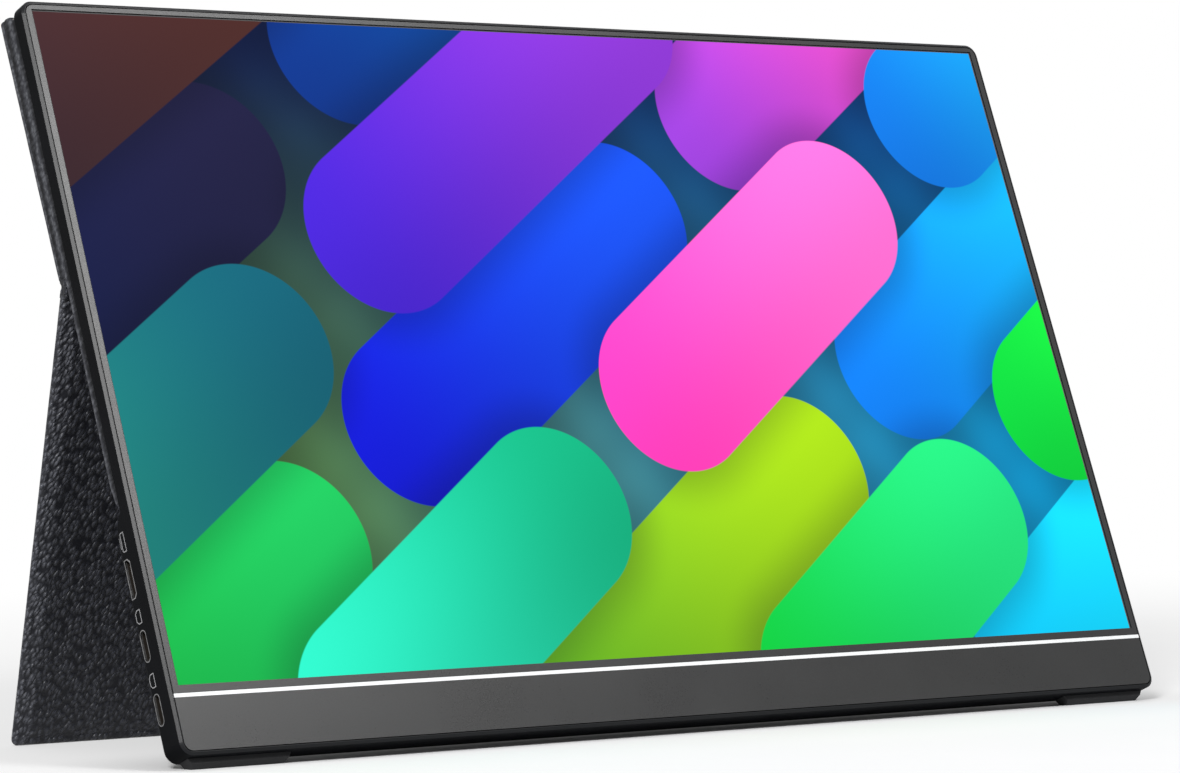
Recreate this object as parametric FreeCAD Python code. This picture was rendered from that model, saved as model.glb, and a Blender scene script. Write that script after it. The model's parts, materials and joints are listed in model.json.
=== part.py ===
import FreeCAD, Part
import math
import os

# A portable monitor that stands on a fold-out leatherette flap. Lengths are millimetres, angles degrees.
# While a piece is modelled, x runs to the right, y from the glass to the back and z up the screen,
# and zero is the middle of the lit area on the front of the glass.
# At the end each piece leans back with the screen and is moved so that the part stands on z = 0.

Vector = FreeCAD.Vector
x_axis = Vector(1, 0, 0)
y_axis = Vector(0, 1, 0)
z_axis = Vector(0, 0, 1)

# General clearances
overrun = 1.0
fit_gap = 0.1
seam_gap = 0.05
lip_gap = 0.25
running_gap = 0.05
key_gap = 0.2
wire_gap = 0.6

# Lit area and front face
screen_width = 344.16
screen_height = 193.59
side_border = 3.4
top_border = 2.9
bar_height = 2.6
strip_height = 1.05
chin_border = 15.85
corner_radius = 3.8
case_inner_corner = 2.6
mask_border = 0.35
face_proud = 0.5
strip_proud = 0.05
tongue_thickness = 0.3
lip_chamfer_width = 0.8
lip_chamfer_depth = 0.6

# Case
thin_depth = 4.8
hump_depth = 9.0
hump_margin = 1.75
ramp_length = 11.0
side_wall = 1.0
rear_wall = 1.0
thin_edge_chamfer = 0.6
hump_edge_radius = 1.5
rib_thickness = 1.0
rib_cable_gap = 2.0
rib_speaker_gap = 1.7
middle_rib_share = 0.5
rib_panel_gap = 0.15
post_half = 1.3
post_place_shares = (0.2, 0.62, 0.93)

# Screen panel
front_glass = 0.5
rear_glass = 0.5
film_thickness = 0.3
guide_thickness = 0.6
reflector_thickness = 0.15
pan_sheet = 0.3
panel_side_border = 0.9
panel_top_border = 0.8
bond_ledge = 2.5
pan_low_lip = 1.0
led_height = 1.1
led_length_share = 0.96
led_count = 24
pad_width = 6.0

# Panel driver board and its bonding films
driver_low_gap = 1.2
driver_thickness = 0.8
driver_part_height = 0.9
bond_film_thickness = 0.1
bond_film_width = 24.0
bond_film_count = 6
driver_post_half = 1.5
driver_post_shares = (0.25, 0.82)

# Sockets on the left side
socket_recess = 0.1
socket_rear_gap = 0.1
type_c_width = 8.94
type_c_height = 3.2
type_c_depth = 7.0
type_c_wall = 0.3
type_c_tongue_width = 6.6
type_c_tongue_height = 0.7
type_c_tongue_recess = 1.0
type_c_low_height = 14.7
type_c_pitch = 17.6
video_width = 11.1
video_height = 3.0
video_shoulder = 1.1
video_depth = 7.4
video_wall = 0.3
video_tongue_width = 7.6
video_tongue_height = 0.75
video_tongue_recess = 0.9
video_pitch = 18.7
socket_back_wall = 0.8

# Main board
board_thickness = 0.8
main_board_width = 62.0
main_board_low = 6.2
board_end_margin = 3.9
board_side_gap = 0.45
boss_radius = 2.4
screw_radius = 0.8
screw_head_radius = 1.7
screw_head_height = 0.9
screw_tip_gap = 0.3
screw_edge = 3.6
screw_sides = 12
chip_size = 12.0
chip_space_share = 0.3
memory_length = 8.0
memory_width = 5.0
coil_size = 5.0
coil_space_share = 0.5
shield_width = 24.0
shield_height = 20.0
shield_space_share = 0.5
shield_sheet = 0.2
plug_length = 4.0
plug_height = 0.9

# Ribbons
ribbon_thickness = 0.2
display_ribbon_width = 5.6
display_ribbon_run = 14.1
key_ribbon_width = 4.6
key_ribbon_gap = 0.6

# Speakers
speaker_width = 29.0
speaker_height = 12.0
speaker_depth = 3.2
speaker_corner = 2.0
speaker_cone_drop = 0.6
speaker_rim = 1.6
speaker_rise = 38.0
speaker_board_gap = 17.5
gasket_thickness = 0.4
slot_width = 1.2
slot_length = 9.0
slot_pitch = 3.0
slot_count = 8
lead_width = 2.0
lead_thickness = 0.8
lead_lap = 1.2

# Keys and audio jack on the right side
key_board_width = 44.0
key_board_margin = 0.4
power_length = 9.0
power_width = 2.2
power_proud = 0.4
power_travel = 0.3
power_flange = 0.6
power_stem = 0.8
dial_radius = 5.0
dial_width = 2.0
dial_proud = 0.9
dial_travel = 0.3
dial_ridge = 0.25
dial_ridge_count = 30
dial_pin_radius = 0.8
carrier_base = 2.2
carrier_side = 0.6
carrier_rail = 0.4
carrier_arm_height = 3.2
switch_length = 4.6
switch_width = 2.4
switch_depth = 3.4
switch_ear = 0.8
switch_ear_thickness = 0.3
plunger_length = 0.55
plunger_width = 1.6
jack_rise = 8.8
jack_bore_radius = 1.8
jack_bore_length = 14.0
jack_nose_radius = 2.6
jack_body_height = 6.2
jack_body_depth = 5.0
jack_back_wall = 0.8

# Feet
foot_length = 32.2
foot_end_inset = 3.3
foot_front = 2.7
foot_rear = 7.0
foot_contact = 5.8
foot_height = 2.0
foot_front_height = 1.3
foot_bevel_rear = 4.6
foot_groove = 0.5
foot_end_bevel = 1.4

# Leatherette cover on the back
cover_side_inset = 0.3
cover_top_inset = 0.9
cover_corner = 1.8
least_corner_share = 0.25
backing_thickness = 2.4
backing_top_drop = 1.2
backing_low_gap = 1.0
backing_taper_length = 5.0
backing_low_share = 0.4
backing_edge_radius = 0.9
skin_thickness = 0.8
panel_top_thickness = 5.5
roll_radius = 1.5
fold_drop = 80.3
fold_thickness = 2.0
fold_outer_gap = 0.1
fold_leg = 1.2
fold_side_inset = 0.3
fold_clearance = 0.3

# Flap that folds out as the stand
flap_end_gap = 7.06
flap_thickness = 3.3
flap_opening = 34.7
hem_width = 2.4
magnet_length = 18.0
magnet_width = 6.0
magnet_thickness = 1.2
magnet_rib_gap = 1.0
keeper_thickness = 0.5

# Places worked out from the sizes above
half_width = screen_width / 2 + side_border
inner_half_width = half_width - side_wall
top_z = screen_height / 2 + top_border
lit_low_z = -screen_height / 2
strip_top_z = lit_low_z - bar_height
strip_low_z = strip_top_z - strip_height
bottom_z = strip_low_z - chin_border
front_inset = side_wall + lip_gap
face_y = -face_proud
lip_edge_y = lip_chamfer_depth - face_proud
thin_inner_y = thin_depth - rear_wall
hump_inner_y = hump_depth - rear_wall

cell_back_y = front_glass + rear_glass
film_back_y = cell_back_y + film_thickness
guide_back_y = film_back_y + guide_thickness
reflector_back_y = guide_back_y + reflector_thickness
pan_back_y = reflector_back_y + pan_sheet
panel_half_width = screen_width / 2 + panel_side_border
panel_top_z = screen_height / 2 + panel_top_border
panel_low_z = strip_top_z + fit_gap
ledge_low_z = panel_low_z - bond_ledge
pan_low_z = ledge_low_z - pan_low_lip
pan_inner_half = panel_half_width - pan_sheet - fit_gap
pan_inner_low_z = pan_low_z + pan_sheet + fit_gap
pan_inner_top_z = panel_top_z - pan_sheet - fit_gap
guide_low_z = pan_inner_low_z + led_height + seam_gap

port_y = hump_inner_y - socket_rear_gap - max(type_c_height, video_height) / 2
socket_mouth_x = -half_width + socket_recess
type_c_low_z = bottom_z + type_c_low_height
type_c_high_z = type_c_low_z + type_c_pitch
video_z = type_c_high_z + video_pitch
video_top_z = video_z + video_width / 2
ramp_low_z = video_top_z + hump_margin
ramp_top_z = ramp_low_z + ramp_length

board_front_y = port_y - board_thickness / 2
board_back_y = port_y + board_thickness / 2
board_left_x = -inner_half_width + board_side_gap
board_right_x = board_left_x + main_board_width
board_low_z = bottom_z + main_board_low
board_high_z = video_top_z + board_end_margin
board_middle_x = (socket_mouth_x + video_depth + board_right_x) / 2
board_middle_z = (board_low_z + board_high_z) / 2
part_space = board_front_y - pan_back_y
chip_height = part_space * chip_space_share
coil_height = part_space * coil_space_share
shield_depth = part_space * shield_space_share
plug_end_x = board_right_x - 2 * screw_edge

power_z = video_z
dial_z = type_c_high_z
dial_x = half_width + dial_proud - dial_radius
jack_z = bottom_z + jack_rise
jack_y = hump_inner_y - fit_gap - jack_body_depth / 2
jack_mouth_x = half_width - socket_recess
jack_back_x = jack_mouth_x - jack_bore_length - jack_back_wall
power_flange_right_x = inner_half_width - running_gap
power_flange_left_x = power_flange_right_x - power_flange
power_back_x = power_flange_left_x - power_stem
power_flange_length = power_length + type_c_height - power_width
carrier_front_x = dial_x - dial_radius - 2 * key_gap
carrier_back_x = carrier_front_x - carrier_base
carrier_half_length = dial_radius + carrier_side
carrier_half_depth = type_c_height / 2
cheek_inside = dial_width / 2 + fit_gap
key_right_x = inner_half_width - board_side_gap
key_left_x = key_right_x - key_board_width
key_low_z = jack_z - jack_body_height / 2 - switch_ear - key_board_margin
key_high_z = power_z + power_length / 2 + board_end_margin

post_top_z = bottom_z + side_wall + 2 * post_half
driver_front_y = front_glass
driver_back_y = driver_front_y + driver_thickness
driver_length = -2 * (plug_end_x + display_ribbon_run)
driver_high_z = pan_low_z - fit_gap
driver_low_z = post_top_z + driver_low_gap
display_ribbon_low_z = driver_high_z - display_ribbon_width
key_ribbon_low_z = driver_high_z + key_ribbon_gap
rib_low_z = key_ribbon_low_z + key_ribbon_width + rib_cable_gap
speaker_z = bottom_z + speaker_rise
speaker_x = -board_right_x - speaker_board_gap - speaker_width / 2
rib_reach = speaker_width / 2 + rib_speaker_gap + rib_thickness / 2
inner_rib_x = speaker_x - rib_reach
outer_rib_x = speaker_x + rib_reach
middle_rib_x = inner_rib_x * middle_rib_share
speaker_rear_y = hump_inner_y - gasket_thickness
speaker_front_y = speaker_rear_y - speaker_depth
magnet_z = rib_low_z - magnet_rib_gap - magnet_width / 2
magnet_x = (middle_rib_x + inner_rib_x) / 2

foot_outer_x = half_width - foot_end_inset
foot_inner_x = foot_outer_x - foot_length
foot_spans = ((-foot_outer_x, -foot_inner_x), (foot_inner_x, foot_outer_x))

cover_half_width = half_width - cover_side_inset
cover_top_z = top_z - cover_top_inset
backing_back_y = thin_depth + backing_thickness
fold_z = top_z - fold_drop
flap_length = fold_z - bottom_z - flap_end_gap
flap_outer = fold_thickness / 2 + fold_outer_gap
flap_inner = flap_thickness - flap_outer
fold_y = backing_back_y + fold_clearance + flap_inner
panel_low_y = fold_y + flap_outer
panel_top_y = backing_back_y + panel_top_thickness
flap_roll = min(roll_radius, flap_thickness / 2 - fit_gap)


def block(x_low, x_high, y_low, y_high, z_low, z_high):
    corner = Vector(x_low, y_low, z_low)
    return Part.makeBox(x_high - x_low, y_high - y_low, z_high - z_low, corner)


def line(start, end):
    return Part.LineSegment(start, end).toShape()


def rounded_outline(x_low, x_high, z_low, z_high, radius, y):
    """A rectangle with round corners in the plane of the screen."""
    left_low = Vector(x_low + radius, y, z_low + radius)
    right_low = Vector(x_high - radius, y, z_low + radius)
    right_high = Vector(x_high - radius, y, z_high - radius)
    left_high = Vector(x_low + radius, y, z_high - radius)
    along_x = x_axis * radius
    along_z = z_axis * radius
    corners = (
        (left_low, -along_x, -along_z),
        (right_low, -along_z, along_x),
        (right_high, along_x, along_z),
        (left_high, along_z, -along_x),
    )
    edges = []
    for place, (middle, start, end) in enumerate(corners):
        halfway = (start + end).normalize() * radius
        edges.append(Part.Arc(middle + start, middle + halfway, middle + end).toShape())
        next_middle, next_start, next_end = corners[(place + 1) % len(corners)]
        edges.append(line(middle + end, next_middle + next_start))
    return Part.Wire(edges)


def rounded_plate(x_low, x_high, z_low, z_high, radius, y_low, y_high):
    face = Part.Face(rounded_outline(x_low, x_high, z_low, z_high, radius, y_low))
    return face.extrude(y_axis * (y_high - y_low))


def side_prism(points, x_low, x_high):
    """A prism along x from an outline of (y, z) points."""
    corners = [Vector(x_low, y, z) for y, z in points]
    face = Part.Face(Part.makePolygon(corners + corners[:1]))
    return face.extrude(x_axis * (x_high - x_low))


def stadium_bar(length, height, x_low, x_high, y_middle, z_middle):
    """A bar along x whose section is long in z, with round ends."""
    radius = height / 2
    reach = length / 2 - radius
    low = Vector(x_low, y_middle, z_middle - reach)
    high = Vector(x_low, y_middle, z_middle + reach)
    front = y_axis * -radius
    back = y_axis * radius
    edges = [
        Part.Arc(low + front, low - z_axis * radius, low + back).toShape(),
        line(low + back, high + back),
        Part.Arc(high + back, high + z_axis * radius, high + front).toShape(),
        line(high + front, low + front),
    ]
    return Part.Face(Part.Wire(edges)).extrude(x_axis * (x_high - x_low))


def edges_at_depth(shape, y):
    """The edges that lie wholly at one depth."""
    found = []
    for edge in shape.Edges:
        box = edge.BoundBox
        if abs(box.YMin - y) < seam_gap and abs(box.YMax - y) < seam_gap:
            found.append(edge)
    return found


def drawn_in(radius, inset):
    """Radius of a corner that follows a larger one at an inset."""
    return max(radius - inset, radius * least_corner_share)


def case_outline(inset, radius, y):
    """The case's outline, drawn in by an inset."""
    reach = half_width - inset
    return rounded_outline(-reach, reach, bottom_z + inset, top_z - inset, radius, y)


def case_plate(inset, radius, y_low, y_high):
    face = Part.Face(case_outline(inset, radius, y_low))
    return face.extrude(y_axis * (y_high - y_low))


def front_plate(y_low, y_high):
    """A plate that fits inside the lip of the case."""
    return case_plate(front_inset, drawn_in(corner_radius, front_inset), y_low, y_high)


def hump_prism(low_z, front_y, thin_y, thick_y, ramp_z, shoulder_z):
    """The thick lower part of the case seen from the side, with an arc as its shoulder."""
    left = -half_width - overrun
    ramp_foot = Vector(left, thick_y, ramp_z)
    ramp_head = Vector(left, thin_y, shoulder_z)
    sink = thick_y - thin_y
    rise = shoulder_z - ramp_z
    radius = (sink ** 2 + rise ** 2) / (2 * sink)
    half_turn = math.atan2(sink, rise)
    arc_middle = ramp_foot + Vector(0, radius * (math.cos(half_turn) - 1), radius * math.sin(half_turn))
    shoulder = Part.Arc(ramp_foot, arc_middle, ramp_head)
    front_head = Vector(left, front_y, shoulder_z)
    front_foot = Vector(left, front_y, low_z)
    rear_foot = Vector(left, thick_y, low_z)
    edges = [
        shoulder.toShape(),
        line(ramp_head, front_head),
        line(front_head, front_foot),
        line(front_foot, rear_foot),
        line(rear_foot, ramp_foot),
    ]
    return Part.Face(Part.Wire(edges)).extrude(x_axis * (2 * half_width + 2 * overrun))


def case_body():
    """Outside of the housing: chamfered lip, thin upper part and thick lower part."""
    lip_front = case_outline(lip_chamfer_width, drawn_in(corner_radius, lip_chamfer_width), face_y)
    lip = Part.makeLoft([lip_front, case_outline(0, corner_radius, lip_edge_y)], True, True)
    thin = case_plate(0, corner_radius, lip_edge_y, thin_depth)
    thin = thin.makeChamfer(thin_edge_chamfer, edges_at_depth(thin, thin_depth))
    thick = case_plate(0, corner_radius, lip_edge_y, hump_depth)
    thick = thick.makeFillet(hump_edge_radius, edges_at_depth(thick, hump_depth))
    hump = hump_prism(
        bottom_z - overrun, thin_inner_y, thin_depth - thin_edge_chamfer, hump_depth, ramp_low_z, ramp_top_z)
    return lip.fuse([thin, thick.common(hump)]).removeSplitter()


def case_hollow():
    """Inside of the housing, open at the front."""
    front = case_plate(side_wall, case_inner_corner, face_y - overrun, thin_inner_y)
    inner_low = ramp_low_z - rear_wall
    inner_high = ramp_top_z - rear_wall
    inner = hump_prism(bottom_z, face_y, thin_inner_y - rear_wall, hump_inner_y, inner_low, inner_high)
    rear = case_plate(side_wall, case_inner_corner, face_y, hump_inner_y).common(inner)
    return front.fuse(rear)


def mirrored(places):
    """Each place and its mirror image."""
    both = []
    for place in places:
        both.extend((-place, place))
    return both


def main_screw_places():
    """Three corners of the main board and the middle of its right edge, clear of sockets and ribbons."""
    left = board_left_x + video_depth + screw_edge
    right = board_right_x - screw_edge
    low = board_low_z + screw_edge
    high = board_high_z - screw_edge
    return [(left, low), (left, high), (right, high), (right, board_middle_z)]


def key_screw_places():
    """Two screws on the inner edge of the key board."""
    inner = key_left_x + screw_edge
    return [(inner, key_low_z + screw_edge), (inner, key_high_z - screw_edge)]


def screw_places():
    return main_screw_places() + key_screw_places()


def round_post(radius, x, z, y_low):
    return Part.makeCylinder(radius, hump_inner_y - y_low, Vector(x, y_low, z), y_axis)


def square_post(half, x, z, y_low):
    return block(x - half, x + half, y_low, hump_inner_y, z - half, z + half)


def driver_post_places():
    z = driver_low_z + driver_post_half
    return [(x, z) for x in mirrored([driver_length / 2 * share for share in driver_post_shares])]


def chin_post_places():
    z = bottom_z + side_wall + post_half
    return [(x, z) for x in mirrored([half_width * share for share in post_place_shares])]


def housing_ribs():
    """Upright ribs behind the panel, notched where the speaker leads pass."""
    high = ramp_low_z - rear_wall
    front = pan_back_y + rib_panel_gap
    notch_reach = lead_width / 2 + wire_gap
    notch_back = board_front_y + wire_gap
    ribs = []
    for x in mirrored([middle_rib_x, inner_rib_x, outer_rib_x]):
        left = x - rib_thickness / 2
        right = x + rib_thickness / 2
        rib = block(left, right, front, hump_inner_y, rib_low_z, high)
        notch = block(
            left - overrun, right + overrun, front - overrun, notch_back,
            speaker_z - notch_reach, speaker_z + notch_reach,
        )
        ribs.append(rib.cut(notch))
    return ribs


def housing_supports():
    """Ribs, screw bosses and posts that stand on the inside of the rear wall."""
    supports = housing_ribs()
    for x, z in screw_places():
        supports.append(round_post(boss_radius, x, z, board_back_y))
    for x, z in driver_post_places():
        supports.append(square_post(driver_post_half, x, z, driver_back_y))
    for x, z in chin_post_places():
        supports.append(square_post(post_half, x, z, tongue_thickness))
    return supports


def speaker_slots():
    """Slots through the rear wall behind both speakers."""
    slots = []
    first = -slot_pitch * (slot_count - 1) / 2
    low = speaker_z - slot_length / 2
    high = speaker_z + slot_length / 2
    for middle in (-speaker_x, speaker_x):
        for number in range(slot_count):
            left = middle + first + number * slot_pitch - slot_width / 2
            slots.append(block(
                left, left + slot_width, hump_inner_y - overrun, hump_depth + overrun, low, high))
    return slots


def socket_openings():
    """Openings in the left wall for the sockets."""
    low = -half_width - overrun
    high = -inner_half_width + overrun
    length = type_c_width + 2 * fit_gap
    height = type_c_height + 2 * fit_gap
    openings = [stadium_bar(length, height, low, high, port_y, z) for z in (type_c_low_z, type_c_high_z)]
    openings.append(side_prism(video_outline(fit_gap), low, high))
    return openings


def key_openings():
    """Openings in the right wall for the power key, the dial and the audio jack."""
    low = inner_half_width - overrun
    high = half_width + overrun
    power = stadium_bar(power_length + 2 * key_gap, power_width + 2 * key_gap, low, high, port_y, power_z)
    chord = math.sqrt(dial_radius ** 2 - (inner_half_width - dial_x) ** 2)
    reach = chord + dial_travel + 2 * key_gap
    side = dial_width / 2 + key_gap
    dial = block(low, high, port_y - side, port_y + side, dial_z - reach, dial_z + reach)
    jack = Part.makeCylinder(jack_nose_radius + fit_gap, high - low, Vector(low, jack_y, jack_z), x_axis)
    return [power, dial, jack]


def foot_grooves():
    grooves = []
    for left, right in foot_spans:
        grooves.append(block(
            left - fit_gap, right + fit_gap, foot_front - fit_gap, foot_rear + fit_gap,
            bottom_z - overrun, bottom_z + foot_groove,
        ))
    return grooves


def rear_housing():
    shell = case_body().cut(case_hollow())
    housing = shell.fuse(housing_supports())
    cuts = socket_openings() + key_openings() + speaker_slots() + foot_grooves()
    for x, z in screw_places():
        cuts.append(round_post(screw_radius + seam_gap, x, z, board_back_y - overrun))
    return housing.cut(cuts).removeSplitter()


def band(z_low, z_high):
    """A block across the whole front between two heights."""
    wide = half_width + overrun
    return block(-wide, wide, face_y - overrun, thin_depth, z_low, z_high)


def front_bezel():
    """Thin frame round the lit area, down to the bright strip."""
    lit_x = screen_width / 2 + mask_border
    lit_z = screen_height / 2 + mask_border
    window = block(-lit_x, lit_x, face_y - overrun, overrun, -lit_z, lit_z)
    return front_plate(face_y, 0).common(band(strip_top_z + seam_gap, top_z)).cut(window)


def accent_strip():
    return front_plate(face_y - strip_proud, 0).common(band(strip_low_z, strip_top_z))


def chin_panel():
    """Chin plate with a thin tongue behind the bright strip."""
    plate = front_plate(face_y, tongue_thickness).common(band(bottom_z, strip_low_z - seam_gap))
    tongue = front_plate(0, tongue_thickness).common(band(strip_low_z - strip_height, strip_top_z))
    return plate.fuse(tongue).removeSplitter()


def lcd_cell():
    """Two glass sheets, the rear one longer at the bottom where the bonding films join it."""
    front = block(-panel_half_width, panel_half_width, 0, front_glass, panel_low_z, panel_top_z)
    rear = block(-panel_half_width, panel_half_width, front_glass, cell_back_y, ledge_low_z, panel_top_z)
    return front.fuse(rear).removeSplitter()


def panel_sheet(y_low, y_high, z_low):
    """One layer of the panel, inside the walls of its pan."""
    return block(-pan_inner_half, pan_inner_half, y_low, y_high, z_low, pan_inner_top_z)


def optical_films():
    return panel_sheet(cell_back_y, film_back_y, guide_low_z)


def light_guide():
    return panel_sheet(film_back_y, guide_back_y, guide_low_z)


def reflector_sheet():
    return panel_sheet(guide_back_y, reflector_back_y, pan_inner_low_z)


def led_bar():
    """A strip board under the light guide with a row of small lamps facing it."""
    reach = pan_inner_half * led_length_share
    board_top = pan_inner_low_z + led_height / 2
    lamp_top = pan_inner_low_z + led_height
    bar = block(-reach, reach, film_back_y, guide_back_y, pan_inner_low_z, board_top)
    pitch = 2 * reach / led_count
    lamp_half = pitch / 4
    lamps = []
    for number in range(led_count):
        x = -reach + pitch * (number + 1 / 2)
        lamps.append(block(x - lamp_half, x + lamp_half, film_back_y, guide_back_y, board_top, lamp_top))
    return bar.fuse(lamps).removeSplitter()


def panel_pan():
    """Sheet-metal tray that holds the panel's layers."""
    outside = block(-panel_half_width, panel_half_width, cell_back_y, pan_back_y, pan_low_z, panel_top_z)
    half = panel_half_width - pan_sheet
    low = pan_low_z + pan_sheet
    high = panel_top_z - pan_sheet
    inside = block(-half, half, cell_back_y - overrun, reflector_back_y, low, high)
    return outside.cut(inside)


def panel_pads():
    """Foam strips that hold the panel to the thin part of the housing."""
    reach = panel_half_width - pad_width
    top = panel_top_z - pad_width
    low = ramp_top_z + pad_width
    spans = (
        (-reach, reach, top - pad_width, top),
        (-reach, -reach + pad_width, low, top - 2 * pad_width),
        (reach - pad_width, reach, low, top - 2 * pad_width),
        (-pad_width / 2, pad_width / 2, low, top - 2 * pad_width),
    )
    pads = [block(left, right, pan_back_y, thin_inner_y, bottom, high) for left, right, bottom, high in spans]
    return Part.makeCompound(pads)


def driver_board():
    """Long narrow board under the panel, with its parts on the rear."""
    half = driver_length / 2
    board = block(-half, half, driver_front_y, driver_back_y, driver_low_z, driver_high_z)
    parts_y = driver_back_y + driver_part_height
    parts = [block(-half, -half + plug_length, driver_back_y, parts_y, display_ribbon_low_z, driver_high_z)]
    pitch = driver_length / (bond_film_count + 1)
    part_low = driver_low_z + 2 * driver_post_half + fit_gap
    for number in range(bond_film_count):
        x = -half + pitch * (number + 1)
        parts.append(block(x - plug_length, x + plug_length, driver_back_y, parts_y, part_low, driver_high_z))
    return board.fuse(parts).removeSplitter()


def driver_films():
    """Thin films that join the glass ledge to the driver board."""
    pitch = driver_length / bond_film_count
    films = []
    for number in range(bond_film_count):
        x = -driver_length / 2 + pitch * (number + 1 / 2)
        films.append(block(
            x - bond_film_width / 2, x + bond_film_width / 2, front_glass - bond_film_thickness, front_glass,
            driver_high_z - bond_ledge, panel_low_z - bond_ledge / 2,
        ))
    return Part.makeCompound(films)


def type_c_socket(z):
    """Round-ended metal shell with a contact tongue inside."""
    back = socket_mouth_x + type_c_depth
    shell = stadium_bar(type_c_width, type_c_height, socket_mouth_x, back, port_y, z)
    hollow = stadium_bar(
        type_c_width - 2 * type_c_wall, type_c_height - 2 * type_c_wall,
        socket_mouth_x - overrun, back - socket_back_wall, port_y, z,
    )
    tongue = block(
        socket_mouth_x + type_c_tongue_recess, back,
        port_y - type_c_tongue_height / 2, port_y + type_c_tongue_height / 2,
        z - type_c_tongue_width / 2, z + type_c_tongue_width / 2,
    )
    return shell.cut(hollow).fuse(tongue).removeSplitter()


def video_outline(grow):
    """Outline of the mini video socket in (y, z): a rectangle with two slanted shoulders."""
    reach = video_width / 2 + grow
    front = port_y - video_height / 2 - grow
    back = port_y + video_height / 2 + grow
    return (
        (back, video_z - reach),
        (back, video_z + reach),
        (front + video_shoulder, video_z + reach),
        (front, video_z + reach - video_shoulder),
        (front, video_z - reach + video_shoulder),
        (front + video_shoulder, video_z - reach),
    )


def video_socket():
    back = socket_mouth_x + video_depth
    shell = side_prism(video_outline(0), socket_mouth_x, back)
    hollow = side_prism(video_outline(-video_wall), socket_mouth_x - overrun, back - socket_back_wall)
    tongue = block(
        socket_mouth_x + video_tongue_recess, back,
        port_y - video_tongue_height / 2, port_y + video_tongue_height / 2,
        video_z - video_tongue_width / 2, video_z + video_tongue_width / 2,
    )
    return shell.cut(hollow).fuse(tongue).removeSplitter()


def board_holes(places):
    return [round_post(screw_radius + fit_gap, x, z, board_front_y - overrun) for x, z in places]


def main_board():
    """Board with notches that take the sockets at half depth."""
    board = block(board_left_x, board_right_x, board_front_y, board_back_y, board_low_z, board_high_z)
    notches = board_holes(main_screw_places())
    for z in (type_c_low_z, type_c_high_z):
        notches.append(block(
            board_left_x - overrun, socket_mouth_x + type_c_depth + fit_gap,
            board_front_y - overrun, board_back_y + overrun,
            z - type_c_width / 2 - fit_gap, z + type_c_width / 2 + fit_gap,
        ))
    notches.append(block(
        board_left_x - overrun, socket_mouth_x + video_depth + fit_gap,
        board_front_y - overrun, board_back_y + overrun,
        video_z - video_width / 2 - fit_gap, video_z + video_width / 2 + fit_gap,
    ))
    return board.cut(notches)


def board_part(x, z, length, width, height):
    """A square part on the front of the main board."""
    front = board_front_y - height
    return block(x - length / 2, x + length / 2, front, board_front_y, z - width / 2, z + width / 2)


def ribbon_plug(x_low, z_low, width):
    front = board_front_y - plug_height
    return block(x_low, x_low + plug_length, front, board_front_y, z_low, z_low + width)


def board_chips():
    """Main chip, memory, coils and ribbon sockets on the front of the main board."""
    memory_z = board_middle_z - shield_height / 2 - memory_width
    parts = [
        board_part(board_middle_x, board_middle_z, chip_size, chip_size, chip_height),
        board_part(board_middle_x, memory_z, memory_length, memory_width, chip_height),
        ribbon_plug(plug_end_x - plug_length, display_ribbon_low_z, display_ribbon_width),
        ribbon_plug(plug_end_x - plug_length, key_ribbon_low_z, key_ribbon_width),
    ]
    coil_z = board_middle_z + shield_height / 2 + coil_size
    for step in (-1, 0, 1):
        x = board_middle_x + step * 3 / 2 * coil_size
        parts.append(board_part(x, coil_z, coil_size, coil_size, coil_height))
    return Part.makeCompound(parts)


def shield_block(inset, y_low, y_high):
    reach_x = shield_width / 2 - inset
    reach_z = shield_height / 2 - inset
    return block(
        board_middle_x - reach_x, board_middle_x + reach_x, y_low, y_high,
        board_middle_z - reach_z, board_middle_z + reach_z,
    )


def board_shield():
    """Thin metal can over the main chip, open towards the board."""
    front = board_front_y - shield_depth
    hollow = shield_block(shield_sheet, front + shield_sheet, board_front_y + overrun)
    return shield_block(0, front, board_front_y).cut(hollow)


def flat_sided_bar(radius, x, z, y_low, y_high):
    """A nearly round bar towards the back, with flat sides."""
    points = []
    for number in range(screw_sides):
        angle = 2 * math.pi * number / screw_sides
        points.append(Vector(x + radius * math.cos(angle), y_low, z + radius * math.sin(angle)))
    return Part.Face(Part.makePolygon(points + points[:1])).extrude(y_axis * (y_high - y_low))


def board_screws():
    screws = []
    tip = hump_inner_y - screw_tip_gap
    for x, z in screw_places():
        head = flat_sided_bar(screw_head_radius, x, z, board_front_y - screw_head_height, board_front_y)
        shank = flat_sided_bar(screw_radius, x, z, board_front_y, tip)
        screws.append(head.fuse(shank).removeSplitter())
    return Part.makeCompound(screws)


def display_ribbon():
    """Flat cable that bends from the main board forward to the driver board."""
    start_y = board_front_y - plug_height / 2 - ribbon_thickness / 2
    end_x = -driver_length / 2
    end_y = driver_back_y + driver_part_height / 2
    start = Vector(plug_end_x, start_y, display_ribbon_low_z)
    end = Vector(end_x, end_y, display_ribbon_low_z)
    half_run = (end_x - plug_end_x) / 2
    half_rise = (end_y - start_y) / 2
    half_turn = math.atan2(half_rise, half_run)
    radius = math.hypot(half_run, half_rise) / (2 * math.sin(half_turn))
    reach = Vector(radius * math.sin(half_turn), radius * (1 - math.cos(half_turn)), 0)
    middle = (start + end) / 2
    bends = [Part.Arc(start, start + reach, middle).toShape(), Part.Arc(middle, end - reach, end).toShape()]
    across = z_axis * display_ribbon_width
    halves = [bend.extrude(y_axis * ribbon_thickness).extrude(across) for bend in bends]
    return halves[0].fuse(halves[1])


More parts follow.
